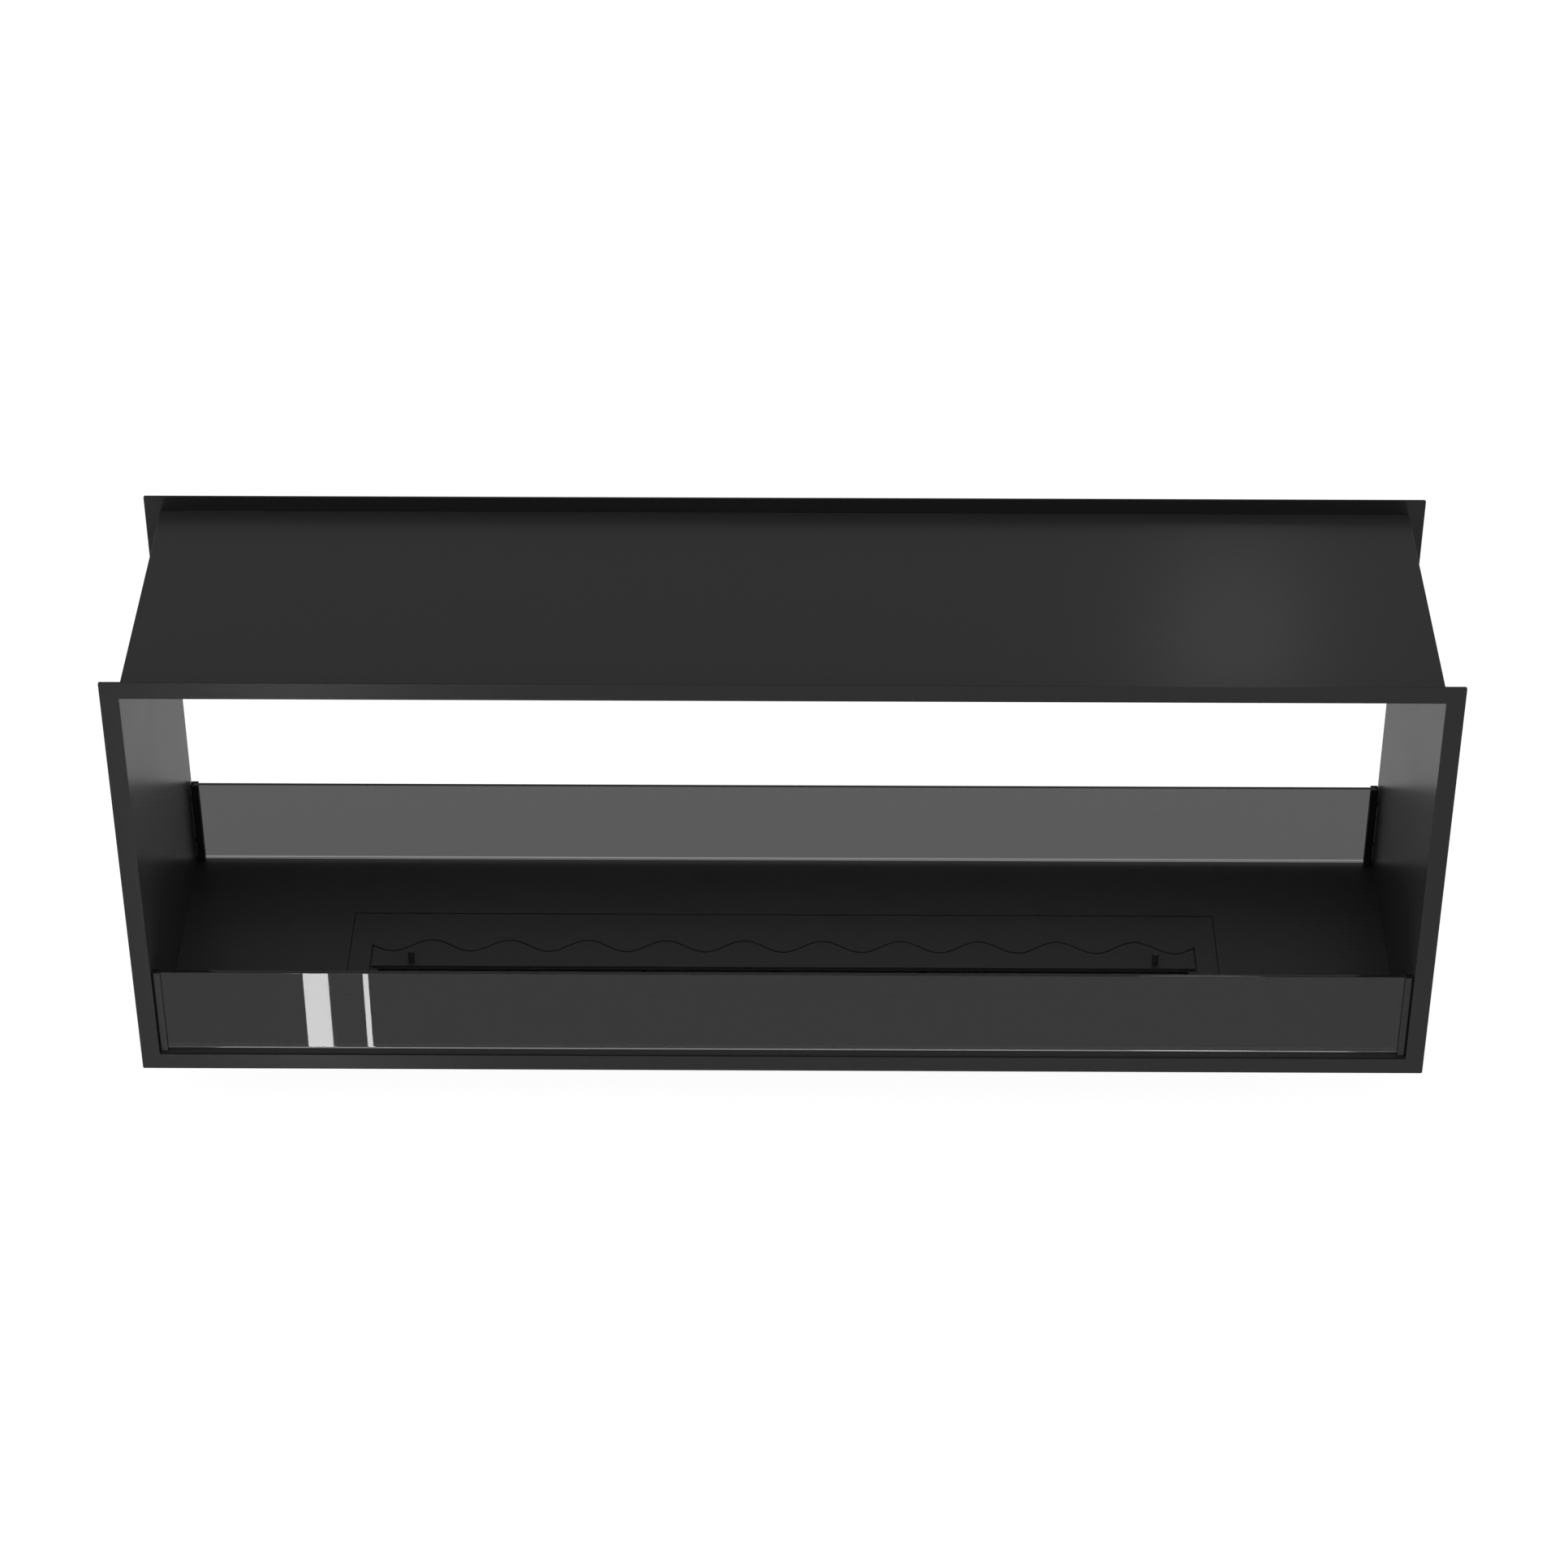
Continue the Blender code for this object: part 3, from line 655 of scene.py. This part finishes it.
class FIREPLACE_OT_fold_channels(Operator):
    """Fold the four U channels that hold the glass"""

    bl_idname = "fireplace.fold_channels"
    bl_label = "Glass channels"

    def execute(self, context):
        settings = context.scene.fireplace_sheet
        coat = powder_coat("channel_powder_coat", settings.channel_colour, settings.coat_roughness,
                           settings.peel, settings.channel_sheen)
        for node in [name for name in nodes_from("channel_") if "screw" not in name]:
            low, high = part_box(node)
            left = node.endswith("left")
            wall, tip = (low.x, high.x) if left else (high.x, low.x)
            path = [(tip, low.y, low.z), (wall, low.y, low.z), (wall, high.y, low.z), (tip, high.y, low.z)]
            piece = folded_piece("folded_" + node, path, (0, 0, high.z - low.z), settings.thin,
                                 settings.fold, settings.edge, 1 if left else -1)
            stands_for(piece, node, coat)
        return {"FINISHED"}


class FIREPLACE_OT_fold_brackets(Operator):
    """Fold the angles that the rear frame is screwed to"""

    bl_idname = "fireplace.fold_brackets"
    bl_label = "Rear brackets"

    def execute(self, context):
        settings = context.scene.fireplace_sheet
        for node in nodes_from("rear_bracket_"):
            low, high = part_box(node)
            if high.z > SIDE_BRACKETS:
                wall, lip = (high.x, low.x) if low.x < 0 else (low.x, high.x)
                path = [(wall, low.y, low.z), (wall, high.y, low.z), (lip, high.y, low.z)]
                sweep = (0, 0, high.z - low.z)
                side = -1 if low.x < 0 else 1
            else:
                path = [(low.x, low.y, high.z), (low.x, high.y, high.z), (low.x, high.y, low.z)]
                sweep = (high.x - low.x, 0, 0)
                side = 1
            piece = folded_piece("folded_" + node, path, sweep, settings.thick, settings.thick_fold,
                                 settings.edge, side)
            stands_for(piece, node, panel_coat(settings))
        return {"FINISHED"}


class FIREPLACE_OT_fold_housing(Operator):
    """Fold the pan that guards the fuel tank"""

    bl_idname = "fireplace.fold_housing"
    bl_label = "Burner housing"

    def execute(self, context):
        settings = context.scene.fireplace_sheet
        low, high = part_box("burner_housing")
        inner = Vector((FLANGE, FLANGE, 0))
        piece = pan_piece("folded_housing", low + inner, high - inner, settings.thin, settings.fold,
                          settings.edge, FLANGE)
        stands_for(piece, "burner_housing", panel_coat(settings))
        return {"FINISHED"}


# ---------------- glass

def float_glass(name, tint, settings):
    """Toughened float glass in a given tint, clear, mirror-smooth, with polished edges: smoked, or lighter as
    a painted highlight band.
    """
    material, tree, place = start_textured(name, tint, Roughness=0.0, Transmission_Weight=1.0,
                                           IOR=settings.index)
    haze = add_node(tree, "TexNoise", {"Scale": 1 / (90 * MM), "Detail": 4.0}, {"Vector": place})
    wiped = add_node(tree, "MapRange", {"From Min": 0.35, "From Max": 0.75, "To Min": 0.0, "To Max": 0.02},
                     {"Value": haze})
    link_shader(tree, Roughness=wiped)
    return material


class FIREPLACE_OT_cut_glass(Operator):
    """Cut the two glass screens and grind their edges"""

    bl_idname = "fireplace.cut_glass"
    bl_label = "Glass screens"

    def execute(self, context):
        settings = context.scene.fireplace_glass
        glass = float_glass("smoked_float_glass", settings.tint, settings)
        # Painted highlight: lighter glass that paints a bright line along the foot of each pane
        highlight = float_glass("bare_float_glass", settings.highlight_band_tint, settings)
        for node, share in (("front_glass", 1), ("rear_glass", settings.rear_share)):
            low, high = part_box(node)
            piece = box_piece("cut_" + node, low, high)
            stands_for(piece, node, glass)
            self.paint_highlight_band(piece, highlight, low.z + share * settings.highlight_band_front,
                           low.z + share * settings.highlight_band_rear)
            soften(piece, settings.arris)
        return {"FINISHED"}

    def paint_highlight_band(self, piece, highlight, front, rear):
        """Give the foot of the pane a lighter tint, a painted highlight that stands in for the bright line of
        light along its lower edge.
        """
        piece.data.materials.append(highlight)
        edit(piece)
        for height, way in ((front, -1), (rear, 1)):
            choose(piece, "FACE", lambda face: face.normal.y * way > 0.9)
            bpy.ops.mesh.bisect(plane_co=(0, 0, height), plane_no=(0, 0, 1))
        choose(piece, "FACE", lambda face: middle(face).z < (front if face.normal.y < -0.9 else rear)
               and abs(face.normal.x) < 0.5)
        piece.active_material_index = 1
        bpy.ops.object.material_slot_assign()
        bpy.ops.object.mode_set(mode="OBJECT")


def silicone(settings):
    """Moulded silicone: soft matte skin with a fine grain from the mould."""
    material, tree, place = start_textured("moulded_silicone", settings.rubber_colour,
                                           Specular_IOR_Level=0.35, IOR=1.42)
    grain = add_node(tree, "TexNoise", {"Scale": 1 / (0.8 * MM), "Detail": 2.0}, {"Vector": place})
    shine = add_node(tree, "MapRange", {"To Min": 0.55, "To Max": 0.75}, {"Value": grain})
    bump = add_node(tree, "Bump", {"Strength": 0.4, "Distance": 0.05 * MM}, {"Height": grain})
    link_shader(tree, Roughness=shine, Normal=bump)
    return material


class FIREPLACE_OT_mould_pads(Operator):
    """Mould the silicone pads under the glass"""

    bl_idname = "fireplace.mould_pads"
    bl_label = "Glass pads"

    def execute(self, context):
        rubber = silicone(context.scene.fireplace_glass)
        for node in nodes_from("glass_pad_"):
            low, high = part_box(node)
            piece = box_piece("moulded_" + node, low, high)
            edit(piece)
            choose(piece, "FACE", lambda face: face.normal.z < -0.9)
            bpy.ops.mesh.inset(thickness=PAD_RIM, depth=-PAD_HOLLOW)
            done()
            soften(piece, PAD_ROUND, segments=3)
            stands_for(piece, node, rubber)
        return {"FINISHED"}


# ---------------- burner

def heat_paint(settings):
    """Silicone heat-proof paint, sprayed thin on laser-cut steel: satin, a little mottled by the heat."""
    name = "heat_proof_satin_paint"
    if name in bpy.data.materials:
        return bpy.data.materials[name]
    material, tree, place = start_textured(name, settings.paint_colour,
                                           Specular_IOR_Level=settings.paint_sheen)
    mottle = add_node(tree, "TexNoise", {"Scale": 1 / (35 * MM), "Detail": 4.0}, {"Vector": place})
    spray = add_node(tree, "TexNoise", {"Scale": 1 / (1.6 * MM), "Detail": 2.0}, {"Vector": place})
    tone = add_node(tree, "Mix", shades(settings.paint_colour, 0.85, 1.15), {"Factor": mottle})
    shine = add_node(tree, "MapRange", {"From Min": 0.3, "From Max": 0.7, "To Min": 0.36, "To Max": 0.44},
                     {"Value": mottle})
    bump = add_node(tree, "Bump", {"Strength": 0.4, "Distance": 0.015 * MM}, {"Height": spray})
    link_shader(tree, Base_Color=tone.outputs[2], Roughness=shine, Normal=bump)
    return material


def brushed_steel():
    """Stainless steel with a long brushed grain, as rolled and belt-brushed sheet has."""
    name = "brushed_stainless_steel"
    if name in bpy.data.materials:
        return bpy.data.materials[name]
    colour = linear("C2C1BE")
    material, tree, place = start_textured(name, colour, Metallic=1.0)
    along = add_node(tree, "Mapping", {"Scale": (1 / (60 * MM), 1 / (0.8 * MM), 1 / (0.8 * MM))},
                     {"Vector": place})
    grain = add_node(tree, "TexNoise", {"Scale": 1.0, "Detail": 3.0}, {"Vector": along})
    tone = add_node(tree, "Mix", shades(colour, 0.85, 1.05), {"Factor": grain})
    shine = add_node(tree, "MapRange", {"To Min": 0.24, "To Max": 0.42}, {"Value": grain})
    bump = add_node(tree, "Bump", {"Strength": 0.3, "Distance": 0.01 * MM}, {"Height": grain})
    link_shader(tree, Base_Color=tone.outputs[2], Roughness=shine, Normal=bump)
    return material


def wave_columns(half, settings):
    """Even places from one end of a wavy edge to the other, with the set number of steps in each wave."""
    count = round(2 * half / settings.wave_pitch * settings.wave_steps)
    return [-half + 2 * half * step / count for step in range(count + 1)]


class FIREPLACE_OT_cut_plate(Operator):
    """Cut the burner plate with its wavy recess and paint the deck below it"""

    bl_idname = "fireplace.cut_plate"
    bl_label = "Burner plate and deck"

    def execute(self, context):
        settings = context.scene.fireplace_burner
        sheet = context.scene.fireplace_sheet
        half = settings.recess_half

        def edge_at(x):
            """Depth of the wavy edge, carried on level past the ends of the recess."""
            return wave(max(-half, min(half, x)), settings.wave_mean, settings)

        def in_recess(place):
            return abs(place.x) < half and settings.recess_front < place.y < edge_at(place.x)

        columns = [PLATE_LOW.x, *wave_columns(half, settings), PLATE_HIGH.x]
        rows = [PLATE_LOW.y, settings.recess_front, edge_at, PLATE_HIGH.y]
        piece = wavy_sheet("wavy_burner_plate", columns, rows, PLATE_LOW.z, sheet.thick, sheet.edge,
                           in_recess)
        stands_for(piece, "burner_top_plate", heat_paint(settings))
        dress_nodes(("burner_deck",), heat_paint(settings))
        return {"FINISHED"}


class FIREPLACE_OT_cut_lid(Operator):
    """Cut the sliding lid to follow the plate's wavy edge"""

    bl_idname = "fireplace.cut_lid"
    bl_label = "Sliding lid"

    def execute(self, context):
        settings = context.scene.fireplace_burner
        sheet = context.scene.fireplace_sheet
        rows = [LID_LOW.y, lambda x: wave(x, settings.wave_mean - settings.lid_gap, settings)]
        piece = wavy_sheet("wavy_lid", wave_columns(LID_HIGH.x, settings), rows, LID_LOW.z, sheet.thick,
                           sheet.edge)
        stands_for(piece, "burner_lid", heat_paint(settings))
        return {"FINISHED"}


class FIREPLACE_OT_turn_pins(Operator):
    """Turn the two pins that push the lid"""

    bl_idname = "fireplace.turn_pins"
    bl_label = "Lid pins"

    def execute(self, context):
        settings = context.scene.fireplace_burner
        low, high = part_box("lid_pin_left")
        radius = (high.x - low.x) / 2
        tail = radius - PIN_SHOULDER
        collar = LID_HIGH.z + CHAMFER
        profile = [(tail, low.z), (tail, collar), (radius - CHAMFER, collar), (radius, collar + CHAMFER),
                   (radius, high.z - PIN_ROUND), *arc(radius, high.z, PIN_ROUND)]
        pattern = turned_piece("pin", profile)
        shade(32)
        put_for(("lid_pin_left", "lid_pin_right"), pattern, "turned_", self.place_of, heat_paint(settings))
        return {"FINISHED"}

    def place_of(self, node, low, high):
        """The pattern stands on the pins' own height, so it only moves level."""
        return Matrix.Translation(((low.x + high.x) / 2, (low.y + high.y) / 2, 0))


class FIREPLACE_OT_fold_tank(Operator):
    """Fold the stainless fuel tank"""

    bl_idname = "fireplace.fold_tank"
    bl_label = "Fuel tank"

    def execute(self, context):
        sheet = context.scene.fireplace_sheet
        low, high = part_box("fuel_tank")
        piece = pan_piece("folded_tank", low, high, sheet.thin, sheet.fold, sheet.edge)
        stands_for(piece, "fuel_tank", brushed_steel())
        return {"FINISHED"}


class FIREPLACE_OT_press_wool(Operator):
    """Press the blocks of ceramic fibre that soak up the fuel"""

    bl_idname = "fireplace.press_wool"
    bl_label = "Ceramic fibre"

    def execute(self, context):
        wool = self.fibre(context.scene.fireplace_burner)
        for node in nodes_from("ceramic_block_"):
            low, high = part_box(node)
            slack = Vector((1, 1, 1)) * WOOL_SLACK
            piece = box_piece("pressed_" + node, low + slack, high - slack)
            soften(piece, WOOL_ROUND)
            edit(piece)
            choose_all()
            bpy.ops.mesh.subdivide(number_cuts=12)
            done()
            lumps = bpy.data.textures.new(node + "_lumps", "CLOUDS")
            lumps.noise_scale = 6 * MM
            modify(piece, "DISPLACE", texture=lumps, strength=0.9 * MM, mid_level=0.5,
                   texture_coords="OBJECT")
            bpy.ops.object.shade_smooth()
            stands_for(piece, node, wool)
        return {"FINISHED"}

    def fibre(self, settings):
        """Pressed ceramic fibre: chalky matted wool, turning darker towards its top."""
        material, tree, place = start_textured("pressed_ceramic_fibre", settings.wool_colour, Roughness=1.0,
                                               Specular_IOR_Level=0.1)
        split = add_node(tree, "SeparateXYZ", {}, {"Vector": place})
        fibres = add_node(tree, "TexNoise", {"Scale": 1 / (3 * MM), "Detail": 6.0, "Distortion": 1.5},
                          {"Vector": place})
        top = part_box("ceramic_block_1")[1].z
        rise = add_node(tree, "MapRange", {"From Min": top - 12 * MM, "From Max": top - 2 * MM},
                        {"Value": split.outputs["Z"]})
        # The fibre's colour turns darker towards its top
        darkening = add_node(tree, "MapRange", {"From Min": 0.2, "From Max": 0.5}, {"Value": rise})
        tone = add_node(tree, "Mix", {"data_type": "RGBA", 6: (*settings.wool_colour, 1),
                                      7: (*settings.darker_top_colour, 1)}, {"Factor": darkening})
        bump = add_node(tree, "Bump", {"Strength": 0.8, "Distance": 0.6 * MM},
                        {"Height": fibres})
        link_shader(tree, Base_Color=tone.outputs[2], Normal=bump)
        return material


# ---------------- fasteners and welds

def black_oxide():
    """Black-oxide steel, hot-dipped and oiled: near-black metal with a dull shine."""
    material, tree, place = start_textured("black_oxide_steel", linear("2C2C2D"), Metallic=1.0)
    bloom = add_node(tree, "TexNoise", {"Scale": 1 / (1.2 * MM), "Detail": 3.0}, {"Vector": place})
    shine = add_node(tree, "MapRange", {"To Min": 0.3, "To Max": 0.48}, {"Value": bloom})
    link_shader(tree, Roughness=shine)
    return material


class FIREPLACE_OT_set_screws(Operator):
    """Drive the socket screws of the rear frame and of the channels"""

    bl_idname = "fireplace.set_screws"
    bl_label = "Screws"

    def execute(self, context):
        finish = black_oxide()
        self.drive("rear_screw_", self.countersunk(), self.backwards, finish)
        self.drive("channel_screw_", self.button_head(), self.outwards, finish)
        return {"FINISHED"}

    def socket_screw(self, name, profile, depth):
        """A turned screw with a hexagon socket in its head."""
        screw = turned_piece(name, profile)
        sink_hexagon(screw, SOCKET, depth)
        shade(32)
        return screw

    def countersunk(self):
        """A countersunk socket screw whose flat head is at height 0."""
        low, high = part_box("rear_screw_1")
        head = (high.x - low.x) / 2
        tip = low.y - high.y
        profile = [(SHANK - CHAMFER, tip), (SHANK, tip + CHAMFER), (SHANK, -1.6 * MM),
                   (head, -0.2 * MM), (head, -0.05 * MM), (head - 0.1 * MM, 0)]
        return self.socket_screw("countersunk", profile, 1.1 * MM)

    def button_head(self):
        """A button-head socket screw: its head stands on height 0."""
        low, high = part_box("channel_screw_front_right_1")
        head = (high.y - low.y) / 2
        seat = SIDE_FACE + HEAD_LIFT
        grip = seat - low.x
        rise = high.x - seat
        dome = [(head * cos(turn), rise * (0.3 + 0.7 * sin(turn)))
                for turn in (radians(15 * step) for step in range(5))]
        profile = [(SHANK - CHAMFER, -grip), (SHANK, -grip + CHAMFER), (SHANK, 0), (head, 0), *dome,
                   (head * 0.45, rise)]
        return self.socket_screw("button_head", profile, 1.2 * MM)

    def backwards(self, node, centre, high):
        """Put a screw's head flush with the rear frame's back, and turn it from +Z to +Y."""
        centre.y = high.y
        return Matrix.Translation(centre) @ Matrix.Rotation(-pi / 2, 4, "X")

    def outwards(self, node, centre, high):
        """Put a screw's head on the outer face of its side panel, and turn it from +Z to that side."""
        side = 1 if "right" in node else -1
        centre.x = side * (SIDE_FACE + HEAD_LIFT)
        return Matrix.Translation(centre) @ Matrix.Rotation(side * pi / 2, 4, "Y")

    def drive(self, prefix, pattern, seat_of, finish):
        """Copy a screw to each of its places, turned about its own axis by chance as driven screws are."""
        chance = random.Random(prefix)

        def place_of(node, low, high):
            spin = Matrix.Rotation(chance.uniform(0, pi / 3), 4, "Z")
            return seat_of(node, (low + high) / 2, high) @ spin

        put_for(sorted(nodes_from(prefix)), pattern, "socket_", place_of, finish)


class FIREPLACE_OT_set_nuts(Operator):
    """Run the nuts up on the studs that hang the housing"""

    bl_idname = "fireplace.set_nuts"
    bl_label = "Housing studs and nuts"

    def execute(self, context):
        low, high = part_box("housing_fixing_1")
        corner = (high.y - low.y) / 2
        face = corner * 0.87
        # From the top down: the stud's part in the flange, and the nut flush with the stud's end
        pattern = turned_piece("nut", [(SHANK, high.z - low.z), (SHANK, NUT_HEIGHT), (face, NUT_HEIGHT),
                                       (corner, NUT_HEIGHT - NUT_CHAMFER), (corner, NUT_CHAMFER), (face, 0)])
        self.cut_flats(pattern, corner)
        put_for(sorted(nodes_from("housing_fixing_")), pattern, "hex_", self.place_of, brushed_steel())
        return {"FINISHED"}

    def cut_flats(self, pattern, corner):
        """Cut a turned nut's six flats, and leave the stud round."""
        mesh = edit(pattern)
        across = 2 * corner * cos(pi / 6)
        for point in mesh.verts:
            reach = hypot(point.co.x, point.co.y)
            if reach > SHANK * 1.1:
                turn = atan2(point.co.y, point.co.x)
                limit = min(reach, hexagon_reach(turn - pi / 6, across))
                point.co.x = limit * cos(turn)
                point.co.y = limit * sin(turn)
        bmesh.update_edit_mesh(pattern.data)
        done()
        shade(25)

    def place_of(self, node, low, high):
        """The pattern stands on its end, and turns until two flats face the housing's sides."""
        centre = (low + high) / 2
        return Matrix.Translation((centre.x, centre.y, low.z)) @ Matrix.Rotation(pi / 6, 4, "Z")


class FIREPLACE_OT_weld_beads(Operator):
    """Stitch-weld the tunnel to the back of the front frame"""

    bl_idname = "fireplace.weld_beads"
    bl_label = "Stitch welds"

    def execute(self, context):
        settings = context.scene.fireplace_sheet
        pattern = self.bead(settings)
        low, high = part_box("top_panel")
        side_low, side_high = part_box("right_side_panel")
        back = FRAME_BACK + 0.1 * MM
        places = []
        for index in range(BEADS_ALONG):
            x = BEADS_SPAN * (low.x + index * (high.x - low.x) / (BEADS_ALONG - 1))
            places.append((x, high.z, 0))
            places.append((x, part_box("base_panel")[0].z, pi))
        for side in (-1, 1):
            for share in BEADS_UP:
                z = side_low.z + (side_high.z - side_low.z) * share
                places.append((side * side_high.x, z, -side * pi / 2))
        matrices = [(f"stitch_weld_{index}",
                     Matrix.Translation((x, back, z)) @ Matrix.Rotation(-turn, 4, "Y"))
                    for index, (x, z, turn) in enumerate(places, start=1)]
        for piece in copies(pattern, matrices):
            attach(piece, "tunnel")
            dress(piece, panel_coat(settings))
        return {"FINISHED"}

    def bead(self, settings):
        """A rippled fillet along X in the corner of y 0 and z 0, which fills +Y and +Z."""
        half = settings.bead_length / 2
        piece = begin("bead", bpy.ops.mesh.primitive_cylinder_add, vertices=16, radius=settings.bead_width,
                      depth=settings.bead_length, end_fill_type="NGON")
        mesh = edit(piece)
        for corner in mesh.verts:
            corner.co = (corner.co.z, corner.co.x, corner.co.y)
        bmesh.update_edit_mesh(piece.data)
        for step in range(1, BEAD_RINGS):
            x = -half + settings.bead_length * step / BEAD_RINGS
            choose_all()
            bpy.ops.mesh.bisect(plane_co=(x, 0, 0), plane_no=(1, 0, 0))
        for normal in ((0, 1, 0), (0, 0, 1)):
            choose_all()
            bpy.ops.mesh.bisect(plane_co=(0, 0, 0), plane_no=normal, use_fill=True, clear_inner=True)
        mesh = bmesh.from_edit_mesh(piece.data)
        for corner in mesh.verts:
            # The weld pool's ripples swell the fillet, which thins out at its ends
            ripple = 1 + 0.08 * cos(2 * pi * corner.co.x / (2.2 * MM))
            ends = sqrt(max(0.0, 1 - (abs(corner.co.x) / half) ** 4))
            swell = 0.05 + 0.87 * ends * ripple
            corner.co.y *= swell
            corner.co.z *= swell
        bmesh.update_edit_mesh(piece.data)
        done()
        shade(50)
        return piece


# ---------------- panel and running

OPERATORS = (
    FIREPLACE_OT_light_stage, FIREPLACE_OT_coat_sheet, FIREPLACE_OT_fold_channels, FIREPLACE_OT_fold_brackets,
    FIREPLACE_OT_fold_housing, FIREPLACE_OT_cut_glass, FIREPLACE_OT_mould_pads,
    FIREPLACE_OT_cut_plate, FIREPLACE_OT_cut_lid, FIREPLACE_OT_turn_pins, FIREPLACE_OT_fold_tank,
    FIREPLACE_OT_press_wool, FIREPLACE_OT_set_screws, FIREPLACE_OT_set_nuts, FIREPLACE_OT_weld_beads,
)
SETTINGS = {"fireplace_sheet": SheetSettings, "fireplace_glass": GlassSettings,
            "fireplace_burner": BurnerSettings, "fireplace_stage": StageSettings}


class FIREPLACE_PT_panel(bpy.types.Panel):
    """Lists the fireplace's settings and operators"""

    bl_idname = "FIREPLACE_PT_panel"
    bl_label = "See-through fireplace"
    bl_space_type = "VIEW_3D"
    bl_region_type = "UI"
    bl_category = "Fireplace"

    def draw(self, context):
        for name, group in SETTINGS.items():
            box = self.layout.box()
            box.label(text=group.__doc__)
            for key in group.__annotations__:
                box.prop(getattr(context.scene, name), key)
        for operator in OPERATORS:
            self.layout.operator(operator.bl_idname)


def register():
    for group in SETTINGS.values():
        bpy.utils.register_class(group)
    for name, group in SETTINGS.items():
        setattr(bpy.types.Scene, name, PointerProperty(type=group))
    for operator in OPERATORS:
        bpy.utils.register_class(operator)
    bpy.utils.register_class(FIREPLACE_PT_panel)


def unregister():
    bpy.utils.unregister_class(FIREPLACE_PT_panel)
    for operator in reversed(OPERATORS):
        bpy.utils.unregister_class(operator)
    for name, group in SETTINGS.items():
        delattr(bpy.types.Scene, name)
        bpy.utils.unregister_class(group)


def main():
    register()
    for operator in OPERATORS:
        group, name = operator.bl_idname.split(".")
        getattr(getattr(bpy.ops, group), name)()


if __name__ == "__main__":
    main()
